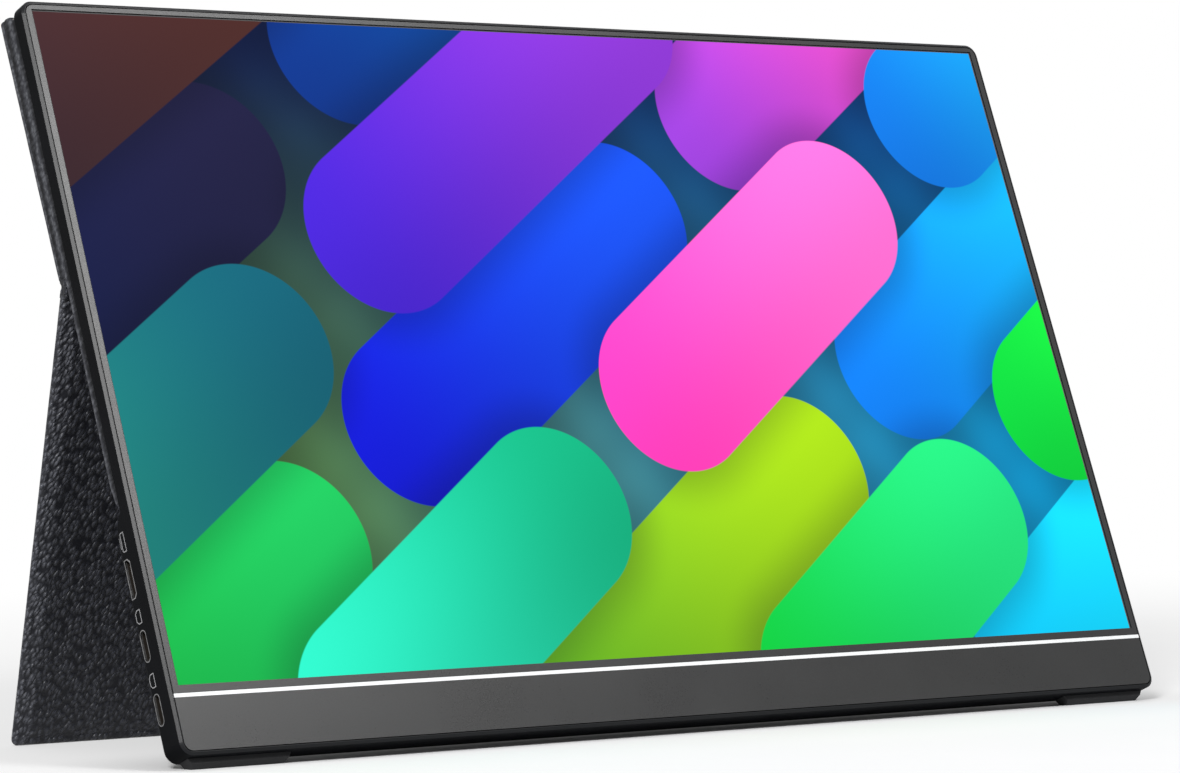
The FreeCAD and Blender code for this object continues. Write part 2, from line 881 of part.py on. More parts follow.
def key_ribbon():
    """Straight flat cable between the two boards."""
    end_x = key_left_x + 2 * screw_edge
    front = board_front_y - plug_height / 2 - ribbon_thickness / 2
    high = key_ribbon_low_z + key_ribbon_width
    return block(plug_end_x, end_x, front, front + ribbon_thickness, key_ribbon_low_z, high)


def speaker_plate(x, inset, radius, y_low, y_high):
    """A plate with a speaker's outline, drawn in by an inset."""
    reach_x = speaker_width / 2 - inset
    reach_z = speaker_height / 2 - inset
    return rounded_plate(
        x - reach_x, x + reach_x, speaker_z - reach_z, speaker_z + reach_z, radius, y_low, y_high)


def speaker(x):
    """Flat box speaker with an oval cone sunk in the face towards the slots."""
    box = speaker_plate(x, 0, speaker_corner, speaker_front_y, speaker_rear_y)
    cone_radius = speaker_height / 2 - speaker_rim - seam_gap
    floor_y = speaker_rear_y - speaker_cone_drop
    return box.cut(speaker_plate(x, speaker_rim, cone_radius, floor_y, speaker_rear_y + overrun))


def speaker_gaskets():
    """Foam rings between the speakers and the rear wall."""
    reach_x = speaker_width / 2 - speaker_corner / 2
    reach_z = speaker_height / 2 - speaker_corner / 2
    hole_x = speaker_width / 2 - speaker_rim
    hole_z = speaker_height / 2 - speaker_rim
    low = speaker_rear_y - overrun
    high = hump_inner_y + overrun
    rings = []
    for x in (-speaker_x, speaker_x):
        plate = block(
            x - reach_x, x + reach_x, speaker_rear_y, hump_inner_y, speaker_z - reach_z, speaker_z + reach_z)
        hole = block(x - hole_x, x + hole_x, low, high, speaker_z - hole_z, speaker_z + hole_z)
        rings.append(plate.cut(hole))
    return Part.makeCompound(rings)


def speaker_leads():
    """A flat twin wire from each speaker to the nearest board, ending on its face."""
    left_span = (board_right_x - lead_lap, -speaker_x - speaker_width / 2)
    right_span = (speaker_x + speaker_width / 2, key_left_x + lead_lap)
    low = speaker_z - lead_width / 2
    high = speaker_z + lead_width / 2
    front = board_front_y - lead_thickness
    leads = [block(start, end, front, board_front_y, low, high) for start, end in (left_span, right_span)]
    return Part.makeCompound(leads)


def keeper_plates():
    """Steel plates inside the rear wall that the flap's magnets hold to."""
    plates = []
    for x in (-magnet_x, magnet_x):
        plates.append(block(
            x - magnet_length / 2, x + magnet_length / 2, hump_inner_y - keeper_thickness, hump_inner_y,
            magnet_z - magnet_width / 2, magnet_z + magnet_width / 2,
        ))
    return Part.makeCompound(plates)


def switch_face_x(key_back_x, travel):
    """Face of a switch body, placed so that its plunger just clears the key at full travel."""
    return key_back_x - travel - running_gap - plunger_length


# Face and height of each switch: behind the power key and behind the dial's carrier
switch_places = (
    (switch_face_x(power_back_x, power_travel), power_z),
    (switch_face_x(carrier_back_x, dial_travel), dial_z),
)


def key_notch(back_x, z, reach):
    """A notch in the key board, open to the right."""
    right = key_right_x + overrun
    return block(back_x, right, board_front_y - overrun, board_back_y + overrun, z - reach, z + reach)


def key_board():
    """Board with notches for the switches, the power key, the dial's carrier and the audio jack."""
    board = block(key_left_x, key_right_x, board_front_y, board_back_y, key_low_z, key_high_z)
    notches = board_holes(key_screw_places())
    for face_x, z in switch_places:
        notches.append(key_notch(face_x - switch_depth - fit_gap, z, switch_length / 2 + fit_gap))
    carrier_reach = carrier_half_length - carrier_rail + fit_gap
    notches.append(key_notch(carrier_back_x - dial_travel - key_gap, dial_z, carrier_reach))
    power_reach = power_flange_length / 2 + key_gap
    notches.append(key_notch(power_back_x - power_travel - key_gap, power_z, power_reach))
    notches.append(key_notch(jack_back_x - fit_gap, jack_z, jack_body_height / 2 + fit_gap))
    plug = ribbon_plug(key_left_x + 2 * screw_edge, key_ribbon_low_z, key_ribbon_width)
    return board.cut(notches).fuse(plug).removeSplitter()


def ears(back_x, z, half_length):
    """A thin flange that rests a part on the front of the key board."""
    front = board_front_y - switch_ear_thickness
    reach = half_length + switch_ear
    return block(back_x, back_x + switch_depth / 2, front, board_front_y, z - reach, z + reach)


def square_stem(x_low, x_high, z):
    half = plunger_width / 2
    return block(x_low, x_high, port_y - half, port_y + half, z - half, z + half)


def key_switches():
    """Side-press switches whose ears rest on the key board."""
    switches = []
    half = switch_length / 2
    side = switch_width / 2
    for face_x, z in switch_places:
        back_x = face_x - switch_depth
        body = block(back_x, face_x, port_y - side, port_y + side, z - half, z + half)
        plunger = square_stem(face_x, face_x + plunger_length, z)
        switches.append(body.fuse([ears(back_x, z, half), plunger]).removeSplitter())
    return Part.makeCompound(switches)


def power_key():
    """Bar key with a flange behind the wall and a stem towards its switch."""
    face_x = half_width + power_proud
    cap = stadium_bar(power_length, power_width, power_flange_left_x, face_x, port_y, power_z)
    cap = cap.makeChamfer(power_proud / 2, [edge for edge in cap.Edges if edge.BoundBox.XMin > half_width])
    flange = stadium_bar(
        power_flange_length, type_c_height, power_flange_left_x, power_flange_right_x, port_y, power_z)
    stem = square_stem(power_back_x, power_flange_left_x, power_z)
    return cap.fuse([flange, stem]).removeSplitter()


def dial_carrier():
    """Fork with the dial's pin. Grooves in its sides ride on the edges of the key board."""
    front_y = port_y - carrier_half_depth
    back_y = port_y + carrier_half_depth
    low = dial_z - carrier_half_length
    high = dial_z + carrier_half_length
    base = block(carrier_back_x, carrier_front_x, front_y, back_y, low, high)
    groove = board_thickness / 2 + running_gap
    depth = carrier_rail + running_gap
    grooves = []
    for groove_low, groove_high in ((low - overrun, low + depth), (high - depth, high + overrun)):
        grooves.append(block(
            carrier_back_x - overrun, carrier_front_x + overrun, port_y - groove, port_y + groove,
            groove_low, groove_high,
        ))
    arm_half = carrier_arm_height / 2
    arms = []
    for arm_front, arm_back in ((front_y, port_y - cheek_inside), (port_y + cheek_inside, back_y)):
        arms.append(block(
            carrier_back_x, dial_x, arm_front, arm_back, dial_z - arm_half, dial_z + arm_half))
        middle = Vector(dial_x, arm_front, dial_z)
        arms.append(Part.makeCylinder(arm_half, arm_back - arm_front, middle, y_axis))
    pin = Part.makeCylinder(dial_pin_radius, back_y - front_y, Vector(dial_x, front_y, dial_z), y_axis)
    return base.cut(grooves).fuse(arms + [pin]).removeSplitter()


def menu_dial():
    """Ridged thumb wheel."""
    front_y = port_y - dial_width / 2
    points = []
    steps = 2 * dial_ridge_count
    for number in range(steps):
        radius = dial_radius - dial_ridge * (number % 2)
        angle = 2 * math.pi * number / steps
        points.append(Vector(dial_x + radius * math.cos(angle), front_y, dial_z + radius * math.sin(angle)))
    wheel = Part.Face(Part.makePolygon(points + points[:1])).extrude(y_axis * dial_width)
    start = Vector(dial_x, front_y - overrun, dial_z)
    bore = Part.makeCylinder(dial_pin_radius + running_gap, dial_width + 2 * overrun, start, y_axis)
    return wheel.cut(bore)


def audio_jack():
    """Round nose in the side wall, a body on the key board and a blind bore."""
    depth = jack_body_depth / 2
    half = jack_body_height / 2
    body = block(
        jack_back_x, inner_half_width - fit_gap, jack_y - depth, jack_y + depth, jack_z - half, jack_z + half)
    nose = Part.makeCylinder(
        jack_nose_radius, jack_mouth_x - jack_back_x, Vector(jack_back_x, jack_y, jack_z), x_axis)
    start = Vector(jack_mouth_x - jack_bore_length, jack_y, jack_z)
    bore = Part.makeCylinder(jack_bore_radius, jack_bore_length + overrun, start, x_axis)
    return body.fuse([nose, ears(jack_back_x, jack_z, half)]).cut(bore).removeSplitter()


def floor_at(y):
    """Height of the floor in the screen's own frame, at a depth behind the glass."""
    return bottom_z - foot_height + (y - foot_contact) * math.tan(math.radians(tilt))


def foot(left, right):
    """Rubber bar set in a groove, with a bevelled front and ends and a flat sole on the floor."""
    outline = (
        (foot_front, bottom_z + foot_groove),
        (foot_front, bottom_z - foot_front_height),
        (foot_bevel_rear, floor_at(foot_bevel_rear)),
        (foot_rear, floor_at(foot_rear)),
        (foot_rear, bottom_z + foot_groove),
    )
    bar = side_prism(outline, left, right)
    low = bottom_z - foot_height - overrun
    slope = foot_end_bevel * (bottom_z - low) / foot_height
    for end, inward in ((left, 1), (right, -1)):
        corners = [
            Vector(end, foot_front - overrun, bottom_z),
            Vector(end, foot_front - overrun, low),
            Vector(end + inward * slope, foot_front - overrun, low),
        ]
        wedge = Part.Face(Part.makePolygon(corners + corners[:1]))
        bar = bar.cut(wedge.extrude(y_axis * (foot_rear - foot_front + 2 * overrun)))
    return bar


def backing_sheet():
    """Leatherette sheet on the thin half of the housing, thinned at its lower edge."""
    low = ramp_top_z + backing_low_gap
    plate = rounded_plate(
        -cover_half_width, cover_half_width, low, cover_top_z - backing_top_drop, cover_corner,
        thin_depth, backing_back_y,
    )
    thin_back = thin_depth + backing_thickness * backing_low_share
    edge_radius = min(backing_edge_radius, backing_thickness / 2)
    plate = plate.makeFillet(edge_radius, edges_at_depth(plate, backing_back_y))
    taper = side_prism(
        (
            (thin_back, low - overrun),
            (backing_back_y + overrun, low - overrun),
            (backing_back_y + overrun, low + backing_taper_length),
            (backing_back_y, low + backing_taper_length),
            (thin_back, low),
        ),
        -half_width, half_width,
    )
    return plate.cut(taper)


def upper_outline(inset, y_low, y_high):
    """A plate in the space of the upper panel, drawn in on its free edges."""
    low = fold_z + fold_leg + inset
    return rounded_plate(
        -cover_half_width + inset, cover_half_width - inset, low, cover_top_z - inset,
        drawn_in(cover_corner, inset), y_low, y_high,
    )


def upper_wedge(back_inset):
    """Everything in front of the upper panel's sloping back."""
    low = fold_z - overrun
    high = cover_top_z + overrun
    slope = (panel_top_y - panel_low_y) / (cover_top_z - fold_z)
    return side_prism(
        (
            (thin_depth, low),
            (panel_low_y - back_inset - overrun * slope, low),
            (panel_top_y - back_inset + overrun * slope, high),
            (thin_depth, high),
        ),
        -half_width, half_width,
    )


def upper_panel_skin():
    """Leatherette drawn over the upper board, with rolled edges, open towards the backing."""
    slab = upper_outline(0, backing_back_y, panel_top_y + overrun).common(upper_wedge(0))
    back_edges = []
    for edge in slab.Edges:
        if edge.BoundBox.YMin > backing_back_y + seam_gap:
            back_edges.append(edge)
    rolled = slab.makeFillet(roll_radius, back_edges)
    pocket = upper_outline(skin_thickness, backing_back_y - overrun, panel_top_y)
    return rolled.cut(pocket.common(upper_wedge(skin_thickness)))


def upper_panel_board():
    """Stiff board inside the upper panel."""
    plate = upper_outline(skin_thickness + fit_gap, backing_back_y, panel_top_y)
    return plate.common(upper_wedge(skin_thickness))


def fold_strip():
    """Leatherette fold, bent round the hinge line as it stands."""
    half = cover_half_width - fold_side_inset
    radius = fold_thickness / 2
    upper = block(-half, half, -radius, radius, 0, fold_leg)
    lower = block(-half, half, -radius, radius, -fold_leg, 0)
    lower.rotate(Vector(), x_axis, flap_opening)
    crease = Part.makeCylinder(radius, 2 * half, Vector(-half, 0, 0), x_axis)
    strip = crease.fuse([upper, lower]).removeSplitter()
    strip.translate(Vector(0, fold_y, fold_z))
    return strip


def flap_plate(inset, y_low, y_high):
    """A plate in the space of the flap, shut and flat, with zero on the fold line."""
    return rounded_plate(
        -cover_half_width + inset, cover_half_width - inset, -flap_length + inset, -fold_leg - inset,
        drawn_in(cover_corner, inset), y_low, y_high,
    )


def lining_block(inset, y_low, y_high):
    """A square-cornered plate inside the flap's outline."""
    half = cover_half_width - inset
    return block(-half, half, y_low, y_high, -flap_length + inset, -fold_leg - inset)


def flap_skin():
    """Leatherette over the back and edges of the flap, turned in as a hem on the front."""
    slab = flap_plate(0, -flap_inner, flap_outer)
    edges = edges_at_depth(slab, -flap_inner) + edges_at_depth(slab, flap_outer)
    rolled = slab.makeFillet(flap_roll, edges)
    pocket = flap_plate(skin_thickness, -flap_inner + skin_thickness, flap_outer - skin_thickness)
    hem = lining_block(hem_width, -flap_inner - overrun, flap_outer - skin_thickness)
    return rolled.cut(pocket.fuse(hem))


def flap_lining():
    """Leatherette sheet on the front of the flap, inside the hem."""
    return lining_block(hem_width + fit_gap, -flap_inner, -flap_inner + skin_thickness)


def flap_magnet_blocks(grow):
    """Blocks on the flap that lie over the keeper plates when it is shut."""
    rise = magnet_z - fold_z
    board_front = -flap_inner + skin_thickness
    blocks = []
    for x in (-magnet_x, magnet_x):
        blocks.append(block(
            x - magnet_length / 2 - grow, x + magnet_length / 2 + grow,
            board_front, board_front + min(magnet_thickness, flap_thickness - 2 * skin_thickness),
            rise - magnet_width / 2 - grow, rise + magnet_width / 2 + grow,
        ))
    return blocks


def flap_board():
    """Stiff board inside the flap, cut out for the magnets."""
    board = flap_plate(skin_thickness + fit_gap, -flap_inner + skin_thickness, flap_outer - skin_thickness)
    return board.cut(flap_magnet_blocks(fit_gap))


def flap_magnets():
    return Part.makeCompound(flap_magnet_blocks(0))


def leaning_angle():
    """Tilt at which the sole and the rounded end of the open flap both rest on the floor."""
    turn = math.radians(flap_opening)
    roll_y = -flap_inner + flap_roll
    roll_z = -flap_length + flap_roll
    end_y = fold_y + roll_y * math.cos(turn) - roll_z * math.sin(turn)
    end_z = fold_z + roll_y * math.sin(turn) + roll_z * math.cos(turn)
    run = end_y - foot_contact
    rise = end_z - (bottom_z - foot_height)
    return math.degrees(math.atan2(rise, run) - math.asin(flap_roll / math.hypot(run, rise)))


tilt = leaning_angle()


def lean(shape):
    """Lean a piece back with the screen."""
    leaned = shape.copy()
    leaned.rotate(Vector(), x_axis, -tilt)
    return leaned


def swing(shape):
    """Open a piece of the flap and hang it on the fold line."""
    opened = shape.copy()
    opened.rotate(Vector(), x_axis, flap_opening)
    opened.translate(Vector(0, fold_y, fold_z))
    return opened


display_pieces = {
    "rear_housing": rear_housing(),
    "front_bezel": front_bezel(),
    "accent_strip": accent_strip(),
    "chin_panel": chin_panel(),
    "lcd_cell": lcd_cell(),
    "optical_films": optical_films(),
    "light_guide": light_guide(),
    "reflector_sheet": reflector_sheet(),
    "led_bar": led_bar(),
    "panel_pan": panel_pan(),
    "panel_pads": panel_pads(),
    "driver_board": driver_board(),
    "driver_films": driver_films(),
    "video_socket": video_socket(),
    "type_c_socket_low": type_c_socket(type_c_low_z),
    "type_c_socket_high": type_c_socket(type_c_high_z),
    "main_board": main_board(),
    "board_chips": board_chips(),
    "board_shield": board_shield(),
    "board_screws": board_screws(),
    "display_ribbon": display_ribbon(),
    "key_ribbon": key_ribbon(),
    "speaker_left": speaker(-speaker_x),
    "speaker_right": speaker(speaker_x),
    "speaker_gaskets": speaker_gaskets(),
    "speaker_leads": speaker_leads(),
    "keeper_plates": keeper_plates(),
    "key_board": key_board(),
    "key_switches": key_switches(),
    "audio_jack": audio_jack(),
    "foot_left": foot(*foot_spans[0]),
    "foot_right": foot(*foot_spans[1]),
    "backing_sheet": backing_sheet(),
    "upper_panel_skin": upper_panel_skin(),
    "upper_panel_board": upper_panel_board(),
    "fold_strip": fold_strip(),
    "power_key": power_key(),
    "dial_carrier": dial_carrier(),
    "menu_dial": menu_dial(),
}
flap_pieces = {
    "flap_skin": flap_skin(),
    "flap_lining": flap_lining(),
    "flap_board": flap_board(),
    "flap_magnets": flap_magnets(),
}

pieces = {name: lean(shape) for name, shape in display_pieces.items()}
for name, shape in flap_pieces.items():
    pieces[name] = lean(swing(shape))

# The part stands on z = 0, with zero under the middle of its box
whole = Part.makeCompound(list(pieces.values())).optimalBoundingBox()
shift = Vector(-(whole.XMin + whole.XMax) / 2, -(whole.YMin + whole.YMax) / 2, -whole.ZMin)

os.makedirs("parts", exist_ok=True)
for name, shape in pieces.items():
    shape.translate(shift)
    shape.exportStep(os.path.join("parts", name + ".step"))


def standing_point(x, y, z):
    """A point of the screen's frame on the standing part."""
    turned = FreeCAD.Rotation(x_axis, -tilt).multVec(Vector(x, y, z))
    return turned + shift


print("tilt", round(tilt, 4))
print("middle of the lit area", standing_point(0, 0, 0))
print("fold line", standing_point(0, fold_y, fold_z))
print("dial axis", standing_point(dial_x, port_y, dial_z))
print("jack mouth", standing_point(jack_mouth_x, jack_y, jack_z))
for z in (video_z, type_c_high_z, type_c_low_z):
    print("socket mouth", standing_point(socket_mouth_x, port_y, z))
for left, right in foot_spans:
    print("sole", standing_point((left + right) / 2, foot_contact, bottom_z - foot_height))
for name, shape in pieces.items():
    print(name, len(shape.Solids), shape.isValid(), round(shape.Volume, 1))
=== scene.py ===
import json
import math
import bpy
from mathutils import Matrix, Vector, noise


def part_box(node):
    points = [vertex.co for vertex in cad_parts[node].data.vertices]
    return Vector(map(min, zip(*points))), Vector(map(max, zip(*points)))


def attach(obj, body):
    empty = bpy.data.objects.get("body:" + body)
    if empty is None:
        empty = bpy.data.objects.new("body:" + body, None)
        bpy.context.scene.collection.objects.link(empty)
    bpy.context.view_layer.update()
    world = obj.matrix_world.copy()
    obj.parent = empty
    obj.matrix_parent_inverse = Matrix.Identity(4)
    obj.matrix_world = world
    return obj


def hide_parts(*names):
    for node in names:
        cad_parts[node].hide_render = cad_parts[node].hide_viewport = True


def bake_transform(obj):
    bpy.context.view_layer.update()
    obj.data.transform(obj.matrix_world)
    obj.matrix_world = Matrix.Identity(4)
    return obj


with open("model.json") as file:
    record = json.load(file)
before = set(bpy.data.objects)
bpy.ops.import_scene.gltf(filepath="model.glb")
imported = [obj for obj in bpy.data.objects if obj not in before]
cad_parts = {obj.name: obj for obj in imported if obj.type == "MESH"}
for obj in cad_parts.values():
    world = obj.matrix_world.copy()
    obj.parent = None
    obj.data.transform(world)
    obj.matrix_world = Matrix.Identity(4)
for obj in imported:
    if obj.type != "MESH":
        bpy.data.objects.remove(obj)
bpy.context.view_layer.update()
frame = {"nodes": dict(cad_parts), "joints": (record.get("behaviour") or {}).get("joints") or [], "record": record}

# Lengths are millimetres in the screen's own frame, where a comment doesn't say metres: x right,
# y from the glass to the back, z up the screen, zero in the middle of the lit area. The flap has
# such a frame on its fold line.
MM = 0.001
LIT_HALF_X = 172.08
LIT_HALF_Z = 96.795
LIT_SIDE_TRIM = 0.12
LIT_TOP_TRIM = 0.05
GLASS_TOP_BORDER = 0.8
FLAP_OPENING = math.radians(34.7)

nodes = frame["nodes"]
joints = {joint["name"]: joint for joint in frame["joints"]}
x_dir = Vector((1, 0, 0))
back_dir = Vector(joints["dial_turn"]["axis"]).normalized()
up_dir = x_dir.cross(back_dir)
turn = Matrix((x_dir, back_dir, up_dir)).transposed().to_4x4()


def extent(node, matrix):
    """Lowest and highest corners of a node, in millimetres in the frame that a matrix gives."""
    inverse = matrix.inverted()
    points = [inverse @ vertex.co / MM for vertex in nodes[node].data.vertices]
    low = Vector([min(point[axis] for point in points) for axis in range(3)])
    high = Vector([max(point[axis] for point in points) for axis in range(3)])
    return low, high


glass_low, glass_high = extent("lcd_cell", turn)
screen_zero = turn @ (Vector((
    (glass_low.x + glass_high.x) / 2,
    glass_low.y,
    glass_high.z - GLASS_TOP_BORDER - LIT_HALF_Z)) * MM)
screen_matrix = Matrix.Translation(screen_zero) @ turn
fold_place = screen_matrix.inverted() @ Vector(joints["stand_fold"]["pos_m"]) / MM
fold_place.x = 0
fold_matrix = screen_matrix @ Matrix.Translation(fold_place * MM)
flap_matrix = fold_matrix @ Matrix.Rotation(FLAP_OPENING, 4, "X")
case_low, _ = extent("rear_housing", screen_matrix)


# Materials. Scales of noise are per metre, and depths of bump are metres.
WHITE = (1, 1, 1, 1)
BLACK = (0, 0, 0, 1)
ZERO = (0, 0, 0)
NOISE_SPAN = (0.3, 0.7)
NOISE_WIDE = (0.25, 0.75)


def linear(code):
    """An sRGB colour code as linear light."""
    values = [int(code[place:place + 2], 16) / 255 for place in (0, 2, 4)]
    light = [v / 12.92 if v <= 0.04045 else ((v + 0.055) / 1.055) ** 2.4 for v in values]
    return (*light, 1)


class Shader:
    """The node tree of a material or a world, with short calls to add and join nodes."""

    def __init__(self, owner, output="ShaderNodeOutputMaterial"):
        self.owner = owner
        owner.use_nodes = True
        self.tree = owner.node_tree
        self.tree.nodes.clear()
        self.out = self.add(output)

    def add(self, kind, **settings):
        node = self.tree.nodes.new(kind)
        for key, value in settings.items():
            setattr(node, key, value)
        return node

    def put(self, socket, value):
        if isinstance(value, bpy.types.NodeSocket):
            self.tree.links.new(value, socket)
        else:
            socket.default_value = value

    def fill(self, node, *values):
        """Set a node's inputs in their order."""
        for socket, value in zip(node.inputs, values):
            self.put(socket, value)
        return node

    def named(self, kind, **values):
        """A new node with inputs set by name, with underscores for spaces."""
        node = self.add(kind)
        for key, value in values.items():
            self.put(node.inputs[key.replace("_", " ")], value)
        return node

    def math(self, operation, *values):
        return self.fill(self.add("ShaderNodeMath", operation=operation), *values).outputs[0]

    def vector(self, operation, *values):
        node = self.fill(self.add("ShaderNodeVectorMath", operation=operation), *values)
        return node.outputs["Value" if operation in ("DOT_PRODUCT", "LENGTH") else "Vector"]

    def ramp(self, value, low, high, to_low=0.0, to_high=1.0):
        node = self.add("ShaderNodeMapRange", interpolation_type="SMOOTHSTEP")
        return self.fill(node, value, low, high, to_low, to_high).outputs[0]

    def mix(self, share, first, second, blend="MIX"):
        node = self.add("ShaderNodeMix", data_type="RGBA", blend_type=blend)
        self.put(node.inputs["Factor"], share)
        self.put(node.inputs["A"], first)
        self.put(node.inputs["B"], second)
        return node.outputs["Result"]

    def noise(self, place, scale, detail=3.0, rough=0.55, output="Fac"):
        node = self.named(
            "ShaderNodeTexNoise", Vector=place, Scale=scale, Detail=detail, Roughness=rough)
        return node.outputs[output]

    def layer(self, name):
        """A value that a mesh holds at its points, zero on a mesh without it."""
        return self.add("ShaderNodeAttribute", attribute_name=name).outputs["Fac"]

    def place(self):
        return self.add("ShaderNodeTexCoord").outputs["Object"]

    def along(self, direction):
        """Distance from the screen's zero along a direction, in millimetres, on a CAD node."""
        apart = self.vector("SUBTRACT", self.place(), screen_zero)
        return self.vector("DOT_PRODUCT", apart, direction / MM)

    def outside(self, place, middle, reach):
        """Distance of a place from a box that a middle and half sizes give."""
        apart = self.vector("ABSOLUTE", self.vector("SUBTRACT", place, middle))
        apart = self.vector("MAXIMUM", self.vector("SUBTRACT", apart, reach), ZERO)
        return self.vector("LENGTH", apart)

    def bump(self, height, strength, distance):
        node = self.named("ShaderNodeBump", Strength=strength, Distance=distance, Height=height)
        return node.outputs["Normal"]

    def surface(self, **values):
        node = self.named("ShaderNodeBsdfPrincipled", **values)
        self.put(self.out.inputs["Surface"], node.outputs[0])


BLOTCH_SCALE = 38
BLOTCH_SHARE = 0.45
GLOSS_SPREAD = 0.12
MOULDED_GRAIN_DEPTH = 0.00008


def moulded(name, colour, roughness, grain, spread, bump, metallic=0.0, specular=0.3):
    """Moulded, sheet or cast material: fine grain, faint blotches and uneven gloss."""
    shader = Shader(bpy.data.materials.new(name))
    place = shader.place()
    blotch = shader.noise(place, BLOTCH_SCALE, detail=4.0)
    speck = shader.noise(place, grain, detail=2.0)
    light = (*(min(1.0, value * (1 + spread)) for value in colour), 1)
    dark = (*(value * (1 - spread) for value in colour), 1)
    shade = shader.math(
        "ADD",
        shader.math("MULTIPLY", blotch, BLOTCH_SHARE),
        shader.math("MULTIPLY", speck, 1 - BLOTCH_SHARE))
    smooth, matt = roughness * (1 - GLOSS_SPREAD), min(1.0, roughness * (1 + GLOSS_SPREAD))
    shader.surface(
        Base_Color=shader.mix(shader.ramp(shade, *NOISE_SPAN), dark, light),
        Roughness=shader.ramp(shade, *NOISE_WIDE, smooth, matt),
        Normal=shader.bump(speck, bump, MOULDED_GRAIN_DEPTH),
        Metallic=metallic,
        Specular_IOR_Level=specular)
    return shader.owner


LIP_DEPTH = 0.6
LIP_BLEND = 0.08
LIP_COAT = 0.2
LIP_COAT_ROUGHNESS = 0.25
CASE_SPECULAR = 0.025
CASE_GLOSS = (0.44, 0.54)
CASE_GRAIN = 3600
CASE_BLOTCH = 30


def case_material():
    """Matt black plastic. The rim round the front has a satin coat, and its lighter colour
    is a painted sheen.
    """
    shader = Shader(bpy.data.materials.new("case_black"))
    place = shader.place()
    speck = shader.noise(place, CASE_GRAIN, detail=2.0)
    blotch = shader.noise(place, CASE_BLOTCH, detail=4.0)
    lip_end = case_low.y + LIP_DEPTH
    lip_coat_and_sheen = shader.ramp(shader.along(back_dir), lip_end - LIP_BLEND, lip_end, 1.0, 0.0)
    body = shader.mix(shader.ramp(blotch, *NOISE_SPAN), linear("090a0c"), linear("0e0f12"))
    shader.surface(
        # The front rim's lighter base colour is a painted sheen.
        Base_Color=shader.mix(lip_coat_and_sheen, body, linear("1c1d1f")),
        Roughness=shader.ramp(speck, *NOISE_SPAN, *CASE_GLOSS),
        Normal=shader.bump(speck, strength=0.12, distance=0.00006),
        Specular_IOR_Level=CASE_SPECULAR,
        Coat_Roughness=LIP_COAT_ROUGHNESS,
        Coat_Weight=shader.math("MULTIPLY", lip_coat_and_sheen, LIP_COAT))
    return shader.owner


RIM_DEPTH = 0.35
RIM_BLEND = 0.5
RIM_GLOSS = (0.28, 0.4)
RIM_SCUFF = 900
RIM_GRAIN = 3600


def socket_material():
    """Plated rims round the sockets, with dark plastic further in."""
    shader = Shader(bpy.data.materials.new("socket_metal"))
    place = shader.place()
    scuff = shader.noise(place, RIM_SCUFF, detail=4.0)
    speck = shader.noise(place, RIM_GRAIN, detail=2.0)
    rim_end = case_low.x + RIM_DEPTH
    inner = shader.ramp(shader.along(x_dir), rim_end, rim_end + RIM_BLEND)
    plated = shader.mix(shader.ramp(scuff, *NOISE_SPAN), linear("6e6e70"), linear("929292"))
    shader.surface(
        Base_Color=shader.mix(inner, plated, linear("2a2622")),
        Roughness=shader.ramp(scuff, *NOISE_WIDE, *RIM_GLOSS),
        Normal=shader.bump(speck, strength=0.08, distance=0.00005),
        Metallic=shader.math("SUBTRACT", 1.0, inner))
    return shader.owner


# The leatherette's meshes say where it gets a painted highlight and where it is stretched tight
# and darkened with painted shade.
HEM_HIGHLIGHT_LAYER = "hem"
TAUT_SHADE_LAYER = "taut_and_shade"
PEBBLE_TURN = math.radians(36)
PEBBLE_STRETCH = 1.8
PEBBLE_SCALE = 900
PEBBLE_SPAN = (0.05, 0.8)
PEBBLE_WANDER = 0.0012
WANDER_SCALE = 480
WRINKLE_SCALE = 260
FINE_SCALE = 3600
PEBBLE_HEIGHT, WRINKLE_HEIGHT, FINE_HEIGHT = 0.7, 0.35, 0.05
TAUT_HEIGHT = 0.4
LEATHER_DEPTH = 0.0007
LEATHER_GLOSS_SPAN = (0.4, 1.6)
LEATHER_GLOSS = (0.5, 0.29)
TAUT_DULL = 0.3
LEATHER_SPECULAR = 0.27


